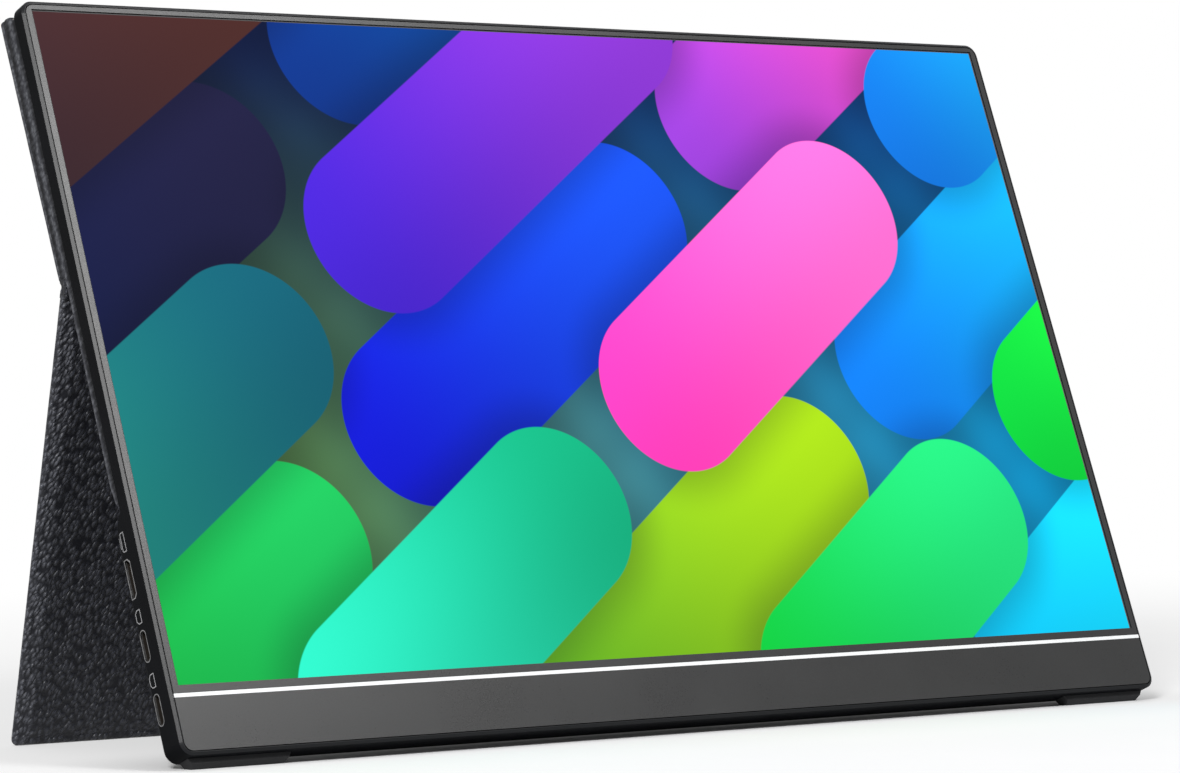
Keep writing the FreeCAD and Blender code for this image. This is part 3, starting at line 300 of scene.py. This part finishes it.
def leather_material():
    """Black leatherette: domed pebbles stretched along one diagonal, creases between them and soft
    wrinkles, with painted highlight on the pebble tops and painted shade in the creases. Where it
    is stretched tight it is smoother, duller and darker, the darkness being painted shade, and the
    bands that the mesh marks are lighter with painted highlight."""
    shader = Shader(bpy.data.materials.new("leatherette"))
    mapping = shader.add("ShaderNodeMapping", vector_type="TEXTURE")
    shader.put(mapping.inputs["Vector"], shader.place())
    shader.put(mapping.inputs["Rotation"], (0, PEBBLE_TURN, 0))
    shader.put(mapping.inputs["Scale"], (1.0, 1.0, PEBBLE_STRETCH))
    place = mapping.outputs["Vector"]
    bend = shader.noise(place, WANDER_SCALE, detail=2.0, rough=0.5, output="Color")
    wander = shader.vector("MULTIPLY", bend, (PEBBLE_WANDER,) * 3)
    cells = shader.named(
        "ShaderNodeTexVoronoi", Vector=shader.vector("ADD", place, wander), Scale=PEBBLE_SCALE)
    pebble = shader.ramp(cells.outputs["Distance"], *PEBBLE_SPAN, 1.0, 0.0)
    fine = shader.noise(place, FINE_SCALE, detail=2.0)
    wrinkle = shader.noise(place, WRINKLE_SCALE, detail=4.0, rough=0.6)
    # Share of painted highlight from the mesh: the flap's hem band and bright bands on cover sides.
    hem = shader.layer(HEM_HIGHLIGHT_LAYER)
    # Share of the edge where it is stretched tight: smoother, duller, and darker as painted shade.
    taut_and_shade = shader.layer(TAUT_SHADE_LAYER)

    # Pebble tops are painted lighter as painted highlight and the creases darker as painted shade.
    def pebble_shading(dark, light):
        return shader.mix(pebble, linear(dark), linear(light))

    # Stretched edges get darker colours as painted shade.
    plain = shader.mix(taut_and_shade, pebble_shading("191a1f", "40424a"), pebble_shading("0c0d10", "1a1b20"))
    # Lighter colours for the painted highlight.
    painted_highlight = shader.mix(taut_and_shade, pebble_shading("24252a", "61636b"), pebble_shading("33343a", "686a70"))
    height = shader.math(
        "ADD",
        shader.math("MULTIPLY", pebble, PEBBLE_HEIGHT),
        shader.math("MULTIPLY", wrinkle, WRINKLE_HEIGHT))
    height = shader.math("ADD", height, shader.math("MULTIPLY", fine, FINE_HEIGHT))
    height = shader.math("MULTIPLY", height, shader.ramp(taut_and_shade, 0.0, 1.0, 1.0, TAUT_HEIGHT))
    gloss = shader.ramp(
        shader.math("ADD", pebble, fine), *LEATHER_GLOSS_SPAN, *LEATHER_GLOSS)
    dull = shader.math("MULTIPLY", taut_and_shade, shader.ramp(hem, 0.0, 1.0, TAUT_DULL, 0.0))
    shader.surface(
        Base_Color=shader.mix(hem, plain, painted_highlight),
        Roughness=shader.math("ADD", gloss, dull),
        Normal=shader.bump(height, strength=1.0, distance=LEATHER_DEPTH),
        Specular_IOR_Level=LEATHER_SPECULAR)
    return shader.owner


# Rounded bars of the screen picture: row, start and end along the row, colours at both ends
BAR_TURN = math.radians(35)
BAR_RADIUS = 26.0
BAR_EDGE = 0.25
BAR_GLOW = 0.3
BAR_SHADE = 0.4
BAR_SHADE_IN, BAR_SHADE_OUT = 4, 15
BARS = (
    (115, -150, -75, "0d1844", "1d1c40"),
    (115, -5, 60, "06348a", "0656ae"),
    (23, -215, -140, "12a83c", "1cc45c"),
    (23, -75, 30, "0a14cc", "1552ee"),
    (23, 95, 160, "9a3fd6", "f050cc"),
    (-69, -90, 20, "5aa21e", "a6da12"),
    (-69, 85, 180, "0a7cec", "12bef8"),
    (-161, 50, 110, "06b8e4", "12dcfc"),
    (161, -130, -20, "35242c", "532c26"),
    (69, -190, -105, "1c8478", "0e5f72"),
    (69, -40, 80, "4420cc", "9038d6"),
    (-23, -150, -60, "2ae2bc", "0eae7c"),
    (-23, 5, 100, "ff3cb8", "ff70d4"),
    (-23, 165, 210, "0c74dc", "16b0f4"),
    (-115, -20, 60, "08bc38", "22e07c"),
    (-115, 125, 160, "06cc3a", "18ee40"),
)
UNLIT_GLASS = (0.12, 0.12, 0.122, 1)
LIT_GLASS = (0.003, 0.003, 0.004, 1)
GLASS_ROUGHNESS = 0.4
GLASS_SPECULAR = 0.008


def screen_material():
    """Lit screen: rounded bars on a four-corner gradient, grey outside the lit area, under matt
    glass."""
    shader = Shader(bpy.data.materials.new("screen_glass"))
    across = shader.along(x_dir)
    rise = shader.along(up_dir)
    along = shader.along(x_dir * math.cos(BAR_TURN) + up_dir * math.sin(BAR_TURN))
    row = shader.along(up_dir * math.cos(BAR_TURN) - x_dir * math.sin(BAR_TURN))
    place = shader.named("ShaderNodeCombineXYZ", X=along, Y=row).outputs[0]
    side = shader.ramp(across, -LIT_HALF_X, LIT_HALF_X)
    high = shader.ramp(rise, -LIT_HALF_Z, LIT_HALF_Z)
    top = shader.mix(side, linear("0a123e"), linear("084c98"))
    low = shader.mix(side, linear("6c9a34"), linear("06b4f0"))
    picture = shader.mix(high, low, top)
    for bar_row, start, end, first, last in BARS:
        middle = Vector(((start + end) / 2, bar_row, 0))
        reach = Vector(((end - start) / 2, 0, 0))
        far = shader.outside(place, middle, reach)
        shade = shader.ramp(
            far, BAR_RADIUS - BAR_SHADE_IN, BAR_RADIUS + BAR_SHADE_OUT, BAR_SHADE, 0.0)
        picture = shader.mix(shade, picture, linear("04081a"))
        share = shader.ramp(along, start - BAR_RADIUS, end + BAR_RADIUS)
        tone = shader.mix(share, linear(first), linear(last))
        above = shader.math("SUBTRACT", row, bar_row)
        glow = shader.ramp(above, -BAR_RADIUS, BAR_RADIUS, 0.0, BAR_GLOW)
        tone = shader.mix(glow, tone, tone, "ADD")
        inside = shader.ramp(far, BAR_RADIUS - BAR_EDGE, BAR_RADIUS + BAR_EDGE, 1.0, 0.0)
        picture = shader.mix(inside, picture, tone)
    from_middle = shader.math("ABSOLUTE", across)
    lit_x = shader.math("LESS_THAN", from_middle, LIT_HALF_X - LIT_SIDE_TRIM)
    lit_z = shader.math("LESS_THAN", rise, LIT_HALF_Z - LIT_TOP_TRIM)
    lit = shader.math("MULTIPLY", lit_x, lit_z)
    shader.surface(
        Emission_Color=shader.mix(lit, BLACK, picture),
        Emission_Strength=1.0,
        Base_Color=shader.mix(lit, UNLIT_GLASS, LIT_GLASS),
        Roughness=GLASS_ROUGHNESS,
        Specular_IOR_Level=GLASS_SPECULAR)
    return shader.owner


MOULDED = {
    "frame_grey": dict(
        colour=(0.011, 0.0112, 0.0115), roughness=0.3, grain=2600, spread=0.25, bump=0.1,
        specular=0.36),
    "accent_white": dict(
        colour=(0.86, 0.87, 0.88), roughness=0.3, grain=2600, spread=0.03, bump=0.03,
        specular=0.5),
    "light_sheet": dict(
        colour=(0.82, 0.83, 0.84), roughness=0.5, grain=900, spread=0.04, bump=0.05),
    "sheet_metal": dict(
        colour=(0.55, 0.56, 0.57), roughness=0.4, grain=1500, spread=0.12, bump=0.1,
        metallic=1.0),
    "foam": dict(
        colour=(0.04, 0.04, 0.045), roughness=0.9, grain=1400, spread=0.3, bump=0.5),
    "circuit_board": dict(
        colour=(0.015, 0.12, 0.05), roughness=0.4, grain=700, spread=0.25, bump=0.1),
    "flex_film": dict(
        colour=(0.55, 0.33, 0.08), roughness=0.35, grain=600, spread=0.12, bump=0.05),
    "chip_black": dict(
        colour=(0.02, 0.02, 0.022), roughness=0.5, grain=2800, spread=0.2, bump=0.15),
    "speaker_plastic": dict(
        colour=(0.03, 0.03, 0.03), roughness=0.5, grain=2800, spread=0.2, bump=0.15),
    "lead_rubber": dict(
        colour=(0.3, 0.02, 0.02), roughness=0.5, grain=1500, spread=0.1, bump=0.05),
    "foot_rubber": dict(
        colour=(0.026, 0.0265, 0.028), roughness=0.6, grain=2400, spread=0.25, bump=0.25,
        specular=0.12),
    "cover_board": dict(
        colour=(0.3, 0.28, 0.25), roughness=0.85, grain=1200, spread=0.15, bump=0.3),
    "magnet": dict(
        colour=(0.35, 0.36, 0.37), roughness=0.35, grain=1600, spread=0.1, bump=0.05,
        metallic=1.0),
    "key_plastic": dict(
        colour=(0.014, 0.014, 0.016), roughness=0.42, grain=3200, spread=0.2, bump=0.12),
    "mark_paint": dict(
        colour=(0.36, 0.36, 0.37), roughness=0.5, grain=1800, spread=0.1, bump=0.05,
        specular=0.2),
}
materials = {name: moulded(name, **values) for name, values in MOULDED.items()}
materials["case_black"] = case_material()
materials["socket_metal"] = socket_material()
materials["leatherette"] = leather_material()
materials["screen_glass"] = screen_material()
for part in frame["record"]["subparts"]:
    slots = nodes[part["node"]].data.materials
    slots.clear()
    slots.append(materials[part["material_slot"]])


# Pieces
def add_object(name, data):
    """A new object in the scene."""
    thing = bpy.data.objects.new(name, data)
    bpy.context.scene.collection.objects.link(thing)
    return thing


def make_piece(name, points, faces, matrix, material, smooth=True):
    """A mesh piece from points in millimetres in the frame that the matrix gives."""
    mesh = bpy.data.meshes.new(name)
    mesh.from_pydata([matrix @ (Vector(point) * MM) for point in points], [], faces)
    mesh.validate()
    for polygon in mesh.polygons:
        polygon.use_smooth = smooth
    mesh.materials.append(materials[material])
    piece = add_object(name, mesh)
    return piece


def band(first, second, size):
    """Faces between two closed loops of points that start at two places in a list."""
    faces = []
    for place in range(size):
        following = (place + 1) % size
        faces.append((first + place, first + following, second + following, second + place))
    return faces


def closed_form(count, size):
    """Faces of a closed form whose points are a row of loops, the first and the last filled."""
    faces = []
    for loop in range(count - 1):
        faces.extend(band(loop * size, (loop + 1) * size, size))
    faces.append(tuple(reversed(range(size))))
    faces.append(tuple(range((count - 1) * size, count * size)))
    return faces


# Outline of a cover: steps along a level side, along an upright side and round a corner, and the
# least corner radius, as a share of the full one, that an inset leaves
LEVEL_STEPS = 64
UPRIGHT_STEPS = 28
CORNER_STEPS = 8
LEAST_CORNER = 0.35
HEM_HIGHLIGHT_WIDTH = 4.6
TAUT_SHADE_WIDTH = 2.0
LAYER_FADE = 0.8


def rounded_outline(half_x, low_z, high_z, corner, inset):
    """Points round a rectangle with round corners, drawn in by an inset, always as many."""
    radius = max(corner - inset, LEAST_CORNER * corner / (1 + inset))
    left, right = -half_x + inset + radius, half_x - inset - radius
    low, high = low_z + inset + radius, high_z - inset - radius
    corners = ((right, low, -90), (right, high, 0), (left, high, 90), (left, low, 180))

    def on_arc(x, z, degrees):
        angle = math.radians(degrees)
        return x + radius * math.cos(angle), z + radius * math.sin(angle)

    points = []
    for place, (x, z, start) in enumerate(corners):
        for step in range(CORNER_STEPS + 1):
            points.append(on_arc(x, z, start + 90 * step / CORNER_STEPS))
        begin, end = points[-1], on_arc(*corners[(place + 1) % 4])
        count = UPRIGHT_STEPS if place % 2 == 0 else LEVEL_STEPS
        for step in range(1, count):
            share = step / count
            points.append(tuple(a + (b - a) * share for a, b in zip(begin, end)))
    return points


def covered_board(name, low, high, corner, rings, matrix, hemmed=False):
    """A closed form from rings that run from the middle of the front over the edge to the middle
    of the back. Each ring is an inset from the outline, a function that gives the depth at a
    point and, where it has a painted highlight, how strong. The upright hems of a hemmed board
    get a band of painted highlight, and round the edge of another the leatherette is stretched
    tight and darkened with painted shade."""
    points, highlight_shares = [], []
    for inset, depth, *painted_highlight in rings:
        outline = rounded_outline(high.x, low.z, high.z, corner, inset)
        points.extend((x, depth(x, z), z) for x, z in outline)
        highlight_shares.extend((painted_highlight or [0.0]) * len(outline))
    faces = closed_form(len(rings), len(points) // len(rings))
    piece = make_piece(name, points, faces, matrix, "leatherette")
    taut_and_shade = [0.0] * len(points)
    # A hemmed board gets a painted highlight band; another is stretched tight with painted shade.
    width, layer = (HEM_HIGHLIGHT_WIDTH, highlight_shares) if hemmed else (TAUT_SHADE_WIDTH, taut_and_shade)
    for place, (x, y, z) in enumerate(points):
        from_side = high.x - abs(x)
        from_edge = from_side if hemmed else min(from_side, high.z - z, z - low.z)
        layer[place] = min(1.0, max(0.0, (width - from_edge) / LAYER_FADE + 0.5))
    for layer_name, values in ((HEM_HIGHLIGHT_LAYER, highlight_shares), (TAUT_SHADE_LAYER, taut_and_shade)):
        attribute = piece.data.attributes.new(layer_name, "FLOAT", "POINT")
        attribute.data.foreach_set("value", values)
    return piece


# Unevenness of the leatherette: size, waves per millimetre and seed
FLAP_FRONT_WAVES = (0.1, 0.06, 3)
FLAP_HEM_WAVES = (0.05, 0.2, 9)
FLAP_ROLL_WAVES = (0.1, 0.25, 7)
FLAP_BACK_WAVES = (0.08, 0.06, 5)
UPPER_SIDE_WAVES = (0.1, 0.22, 11)
UPPER_BACK_WAVES = (0.08, 0.06, 13)
FOLD_WAVES = (0.06, 0.3, 17)


def uneven(x, z, waves):
    """A small smooth unevenness."""
    size, scale, seed = waves
    return size * noise.noise(Vector((x * scale, seed, z * scale)))


# Each cover's middle lies a little under its CAD face.
FLAP_FRONT_UNDER = 0.06
UPPER_FRONT_UNDER = 0.02
BACKING_UNDER = 0.01
BACK_UNDER = 0.04
COVER_CORNER = 1.8
FLAP_FLAT = (58, 48, 38, 29, 21, 14, 10)
FLAP_BACK_EDGE = (6, 2.6)
# Inset from the flap's edge, and how far the hem has fallen there
FLAP_HEM = (
    (7.6, 0.02), (6.2, 0.02), (5.4, 0.03), (4.9, 0.06), (4.4, 0.13), (3.9, 0.22), (3.4, 0.31),
    (2.9, 0.4), (2.6, 0.45), (2.35, 0.49), (2.1, 0.52), (1.85, 0.55), (1.6, 0.58), (1.3, 0.63),
    (1.0, 0.69), (0.75, 0.76), (0.5, 0.88), (0.25, 1.12), (0.08, 1.4),
)
GROOVE_DEPTH = 0.2
GROOVE_RISE = 2.1
GROOVE_WIDTH = 0.35
ROLL_STEPS = 9
ROLL_START, ROLL_SWEEP = -4, 88
flap_low, flap_high = extent("flap_skin", flap_matrix)


def flap_rings():
    """Front with hems that fall off to the edge and a groove above the low edge, the rolled edge,
    then the back."""
    front, back = flap_low.y, flap_high.y
    middle, roll = (front + back) / 2, (back - front) / 2

    def groove(z):
        return GROOVE_DEPTH * math.exp(-((z - flap_low.z - GROOVE_RISE) / GROOVE_WIDTH) ** 2)

    def on_front(x, z):
        return front + FLAP_FRONT_UNDER + uneven(x, z, FLAP_FRONT_WAVES)

    def on_hem(drop):
        return lambda x, z: front + drop + groove(z) + uneven(x, z, FLAP_HEM_WAVES)

    def on_roll(depth):
        return lambda x, z: depth + uneven(x, z, FLAP_ROLL_WAVES)

    def on_back(x, z):
        return back - BACK_UNDER + uneven(x, z, FLAP_BACK_WAVES)

    rings = [(inset, on_front) for inset in FLAP_FLAT]
    rings.extend((inset, on_hem(drop)) for inset, drop in FLAP_HEM)
    for step in range(ROLL_STEPS + 1):
        angle = math.radians(ROLL_START + ROLL_SWEEP * step / ROLL_STEPS)
        rings.append((roll * (1 - math.cos(angle)), on_roll(middle + roll * math.sin(angle))))
    rings.extend((inset, on_back) for inset in reversed(FLAP_FLAT + FLAP_BACK_EDGE))
    return rings


flap_cover = covered_board(
    "flap_cover", flap_low, flap_high, COVER_CORNER, flap_rings(), flap_matrix, hemmed=True)
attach(flap_cover, "stand_flap")
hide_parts("flap_skin", "flap_lining")

UPPER_CORNER = 1.0
UPPER_FLAT = (36, 28, 20, 13, 8, 4.5)
UPPER_FRONT_EDGE = 1.2
UPPER_BACK_EDGE = 2.6
# Inset from the upper cover's edge, share of the way from its front to its back, and share of
# painted highlight
UPPER_SIDE = (
    (0.75, 0.005, 0.8), (0.55, 0.05, 1.0), (0.36, 0.13, 0.9), (0.2, 0.22, 0.4), (0.09, 0.32, 0.1),
    (0.03, 0.42, 0.0), (0.05, 0.49, 0.0), (0.14, 0.545, 0.0), (0.36, 0.58, 0.0), (0.85, 0.6, 0.0),
    (0.85, 0.635, 0.0), (0.34, 0.66, 0.3), (0.12, 0.69, 0.8), (0.05, 0.75, 1.0), (0.07, 0.83, 0.5),
    (0.18, 0.9, 0.0), (0.45, 0.96, 0.0), (0.9, 0.99, 0.0),
)
upper_low, upper_high = extent("upper_panel_skin", screen_matrix)


def upper_back(z):
    """Depth of the sloping back of the upper cover."""
    share = (z - fold_place.z) / (upper_high.z - fold_place.z)
    at_fold = fold_place.y + flap_high.y
    return at_fold + (upper_high.y - at_fold) * share


def upper_rings():
    """Side with a front roll, a crease, and the thinner outer layer that wraps over the back."""
    front = upper_low.y

    def on_front(x, z):
        return front + UPPER_FRONT_UNDER

    def on_side(share):
        return lambda x, z: (
            front + (upper_back(z) - front) * share + uneven(x, z, UPPER_SIDE_WAVES))

    def on_back(x, z):
        return upper_back(z) - BACK_UNDER + uneven(x, z, UPPER_BACK_WAVES)

    rings = [(inset, on_front) for inset in UPPER_FLAT + (UPPER_FRONT_EDGE,)]
    rings.extend((inset, on_side(share), painted_highlight) for inset, share, painted_highlight in UPPER_SIDE)
    rings.extend((inset, on_back) for inset in reversed(UPPER_FLAT + (UPPER_BACK_EDGE,)))
    return rings


upper_cover = covered_board(
    "upper_cover", upper_low, upper_high, UPPER_CORNER, upper_rings(), screen_matrix)
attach(upper_cover, "display")
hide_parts("upper_panel_skin")

BACKING_TAPER = 5.0
BACKING_LOW_SHARE = 0.4
BACKING_FLAT = (68, 56, 44, 33, 23, 15, 9, 5)
BACKING_FRONT_EDGE = 2.6
BACKING_BACK_EDGE = 0.6
# Inset from the backing's edge, share of the way from its front to its back, and share of
# painted highlight
BACKING_SIDE = (
    (2.0, 0.03, 0.0), (1.6, 0.1, 0.0), (1.2, 0.2, 0.0), (0.85, 0.32, 0.0), (0.54, 0.46, 0.0),
    (0.3, 0.61, 0.3), (0.14, 0.77, 1.0), (0.07, 0.9, 0.9), (0.12, 0.97, 0.6),
)
backing_low, backing_high = extent("backing_sheet", screen_matrix)


def backing_back(z):
    """Depth of the back of the backing, which thins out towards its low edge."""
    taper = min(1.0, max(0.0, (z - backing_low.z) / BACKING_TAPER))
    share = BACKING_LOW_SHARE + (1 - BACKING_LOW_SHARE) * taper
    return backing_low.y + (backing_high.y - backing_low.y) * share


def backing_rings():
    """Sheet on the case with a full front roll that runs into the upper cover's side."""
    front = backing_low.y

    def at_share(share):
        return lambda x, z: front + (backing_back(z) - front) * share

    def on_back(x, z):
        return backing_back(z) - BACKING_UNDER

    rings = [(inset, at_share(0.0)) for inset in BACKING_FLAT + (BACKING_FRONT_EDGE,)]
    rings.extend((inset, at_share(share), painted_highlight) for inset, share, painted_highlight in BACKING_SIDE)
    rings.extend((inset, on_back) for inset in reversed(BACKING_FLAT + (BACKING_BACK_EDGE,)))
    return rings


backing_cover = covered_board(
    "backing_cover", backing_low, backing_high, COVER_CORNER, backing_rings(), screen_matrix)
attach(backing_cover, "display")
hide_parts("backing_sheet")

FOLD_END_INSET = 0.2
FOLD_END_ROUND = 0.5
FOLD_END_DRAW = 0.45
FOLD_END_STEPS = 4
FOLD_COLUMNS = 96
FOLD_LEG = 3.2
FOLD_STEPS = 24
FOLD_BEND_HALF = 1.2
FOLD_MIDDLE = -0.58
FOLD_THICK = 3.0
FOLD_WAIST = 2.3
FOLD_WAIST_HALF = 1.6
FOLD_RIDGE = 0.04
FOLD_RIDGE_TURN = 5.2


def fold_line():
    """Middle, outward direction, reach and half thickness of the fold's section, from the upper
    cover down to the flap."""
    line = []
    for step in range(FOLD_STEPS + 1):
        reach = FOLD_LEG * (1 - 2 * step / FOLD_STEPS)
        bent = min(1.0, max(0.0, (FOLD_BEND_HALF - reach) / (2 * FOLD_BEND_HALF)))
        leg = 0 if reach >= 0 else FLAP_OPENING
        centre = Vector((0, -math.sin(leg) * reach, math.cos(leg) * reach))
        bend = FLAP_OPENING * bent
        outward = Vector((0, math.cos(bend), math.sin(bend)))
        waist = max(0.0, 1 - abs(reach) / FOLD_WAIST_HALF)
        thick = FOLD_THICK + (FOLD_WAIST - FOLD_THICK) * waist * waist * (3 - 2 * waist)
        line.append((centre, outward, reach, thick / 2))
    return line


def fold_columns():
    """Places across the fold, and how far its surface is drawn in there by the round ends."""
    half_x = flap_high.x - FOLD_END_INSET
    ends = []
    for step in range(FOLD_END_STEPS):
        angle = math.pi * step / (2 * FOLD_END_STEPS)
        ends.append((
            -half_x + FOLD_END_ROUND * (1 - math.cos(angle)),
            FOLD_END_DRAW * (1 - math.sin(angle))))
    width = 2 * (half_x - FOLD_END_ROUND)
    inner = [(-half_x + FOLD_END_ROUND + width * column / FOLD_COLUMNS, 0.0)
             for column in range(FOLD_COLUMNS + 1)]
    return ends + inner + [(-x, draw) for x, draw in reversed(ends)]


def fold_piece():
    """Leatherette fold from the upper cover to the flap, bent round the fold line with a soft
    waist."""
    line, columns = fold_line(), fold_columns()
    points = []
    for x, draw in columns:
        for side, order in ((1, line), (-1, reversed(line))):
            for centre, outward, reach, half in order:
                ridge = FOLD_RIDGE * math.cos(reach * FOLD_RIDGE_TURN)
                ridge += uneven(x, reach, FOLD_WAVES)
                place = centre + outward * (FOLD_MIDDLE + side * (half + ridge - draw))
                points.append((x, place.y + fold_place.y, place.z + fold_place.z))
    faces = closed_form(len(columns), 2 * len(line))
    return make_piece("fold_cover", points, faces, screen_matrix, "leatherette")


fold_cover = fold_piece()
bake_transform(fold_cover)
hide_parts("fold_strip")

# Printed outlines above the sockets: boxes with low and high y from a socket's middle, low and
# high z from its upper end, and the size of the two cut corners
MARK_LINE = 0.27
MARK_PROUD = 0.03
MARK_HALF = 1.15
MARKS = {
    "type_c_socket_low": ((-MARK_HALF, MARK_HALF, 1.7, 5.3, 0.8),),
    "type_c_socket_high": ((-MARK_HALF, MARK_HALF, 1.8, 5.4, 0.8),),
    "video_socket": ((-MARK_HALF, 0.5, 2.0, 7.2, 0.3), (1.05, 1.15, 3.2, 6.0, 0.03)),
}


def clipped_box(y_low, y_high, z_low, z_high, clip):
    """A rectangle whose two corners towards the back are cut off, anticlockwise in (y, z)."""
    return [
        (y_low, z_low), (y_high - clip, z_low), (y_high, z_low + clip),
        (y_high, z_high - clip), (y_high - clip, z_high), (y_low, z_high)]


def offset_loop(loop, distance):
    """A closed outline in (y, z) moved outwards by a distance at mitred corners."""
    moved = []
    for place, point in enumerate(loop):
        before, after = Vector(loop[place - 1]), Vector(loop[(place + 1) % len(loop)])
        point = Vector(point)
        first, second = (point - before).normalized(), (after - point).normalized()
        normal = Vector((first.y + second.y, -first.x - second.x)).normalized()
        scale = normal.dot(Vector((first.y, -first.x)))
        moved.append(point + normal * distance / scale)
    return moved


def printed_mark(name, loops):
    """Thin closed bands on the left side wall along closed outlines."""
    face_x, root_x = case_low.x - MARK_PROUD, case_low.x + MARK_PROUD
    points, faces = [], []
    for loop in loops:
        outer, inner = offset_loop(loop, MARK_LINE / 2), offset_loop(loop, -MARK_LINE / 2)
        rings = ((face_x, outer), (face_x, inner), (root_x, inner), (root_x, outer))
        starts = [len(points) + ring * len(loop) for ring in range(len(rings))]
        for x, ring in rings:
            points.extend((x, y, z) for y, z in ring)
        for first, second in zip(starts, starts[1:] + starts[:1]):
            faces.extend(band(first, second, len(loop)))
    piece = make_piece(
        name, points, faces, screen_matrix, "mark_paint", smooth=False)
    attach(piece, "display")


for socket, boxes in MARKS.items():
    low, high = extent(socket, screen_matrix)
    middle = (low.y + high.y) / 2
    printed_mark(socket + "_mark", [
        clipped_box(middle + y_low, middle + y_high, high.z + z_low, high.z + z_high, clip)
        for y_low, y_high, z_low, z_high, clip in boxes])


# Stage, light and camera, in metres
FLOOR_REACH = 12.0
FLOOR_TONES = ((0.875, 0.875, 0.88, 1), (0.89, 0.89, 0.89, 1))
FLOOR_BLOTCH = 14
# Distances from the feet over which the floor turns white, and the share of white they add. The
# near share is painted light that lifts the part's shadow on the floor.
FLOOR_PAINTED_FILL = (0.0, 0.045, 0.0, 0.45)
FLOOR_FAR = (0.1, 0.7, 0.0, 0.55)
SKY_LIGHT = 0.32
# Place, size and watts of each lamp
LAMP_AIM = Vector((0.0, 0.0, 0.1))
LAMPS = {
    "lamp_left": ((-1.255, -0.955, 1.097), (0.45, 0.45), 24),
    "lamp_front": ((0.67, -1.085, 1.215), (0.45, 0.45), 11),
    "lamp_top": ((0.1, 0.3, 1.6), (1.4, 1.0), 3),
}
CAMERA_LENS = 138.2
CAMERA_SENSOR = 36
CAMERA_CLIP = (0.05, 60)
CAMERA_FROM_SCREEN = Vector((-0.8048, -1.037, 0.0091))
CAMERA_LOOK = Vector((0.609, 0.79297, -0.0178))


def turned(direction):
    """Rotation that points a lamp or a camera along a direction."""
    return direction.to_track_quat("-Z", "Y").to_euler()


def seen_directly(shader):
    """1 for camera, glossy and transmission rays."""
    path = shader.add("ShaderNodeLightPath").outputs
    seen = shader.math("MAXIMUM", path["Is Camera Ray"], path["Is Glossy Ray"])
    return shader.math("MAXIMUM", seen, path["Is Transmission Ray"])


foot_corners = [corner for node in ("foot_left", "foot_right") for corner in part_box(node)]
base_low = Vector([min(corner[axis] for corner in foot_corners) for axis in range(2)] + [0])
base_high = Vector([max(corner[axis] for corner in foot_corners) for axis in range(2)] + [0])


def floor_material():
    """Pale matt floor that keeps the shadow at the feet, lifts it a little way out with painted light
    and turns plain white further out.
    """
    shader = Shader(bpy.data.materials.new("floor_white"))
    place = shader.place()
    blotch = shader.ramp(shader.noise(place, FLOOR_BLOTCH), *NOISE_SPAN)
    matt = shader.named("ShaderNodeBsdfDiffuse", Color=shader.mix(blotch, *FLOOR_TONES))
    white = shader.named("ShaderNodeEmission", Strength=seen_directly(shader))
    away = shader.outside(place, (base_low + base_high) / 2, (base_high - base_low) / 2)
    # Self-lit white a few centimetres from the feet is painted light that lightens the shadow.
    far = shader.math("ADD", shader.ramp(away, *FLOOR_PAINTED_FILL), shader.ramp(away, *FLOOR_FAR))
    both = shader.add("ShaderNodeMixShader")
    shader.fill(both, far, matt.outputs[0], white.outputs[0])
    shader.put(shader.out.inputs["Surface"], both.outputs[0])
    return shader.owner


floor_mesh = bpy.data.meshes.new("floor")
floor_corners = [(x * FLOOR_REACH, y * FLOOR_REACH, 0)
                 for x, y in ((-1, -1), (1, -1), (1, 1), (-1, 1))]
floor_mesh.from_pydata(floor_corners, [], [(0, 1, 2, 3)])
floor_mesh.materials.append(floor_material())
floor = add_object("floor", floor_mesh)

studio = Shader(bpy.data.worlds.new("studio"), "ShaderNodeOutputWorld")
sky_level = studio.ramp(seen_directly(studio), 0.0, 1.0, SKY_LIGHT, 1.0)
sky = studio.named("ShaderNodeBackground", Color=WHITE, Strength=sky_level)
studio.put(studio.out.inputs["Surface"], sky.outputs[0])
bpy.context.scene.world = studio.owner

for name, (place, size, power) in LAMPS.items():
    lamp_data = bpy.data.lights.new(name, "AREA")
    lamp_data.shape = "RECTANGLE"
    lamp_data.size, lamp_data.size_y = size
    lamp_data.energy = power
    lamp = add_object(name, lamp_data)
    lamp.location = place
    lamp.rotation_euler = turned(LAMP_AIM - Vector(place))

camera_data = bpy.data.cameras.new("camera")
camera_data.lens = CAMERA_LENS
camera_data.sensor_width = CAMERA_SENSOR
camera_data.sensor_fit = "HORIZONTAL"
camera_data.clip_start, camera_data.clip_end = CAMERA_CLIP
camera = add_object("camera", camera_data)
camera.location = screen_zero + CAMERA_FROM_SCREEN
camera.rotation_euler = turned(CAMERA_LOOK)
bpy.context.scene.camera = camera
bpy.context.scene.view_settings.view_transform = "Standard"

bpy.context.view_layer.update()
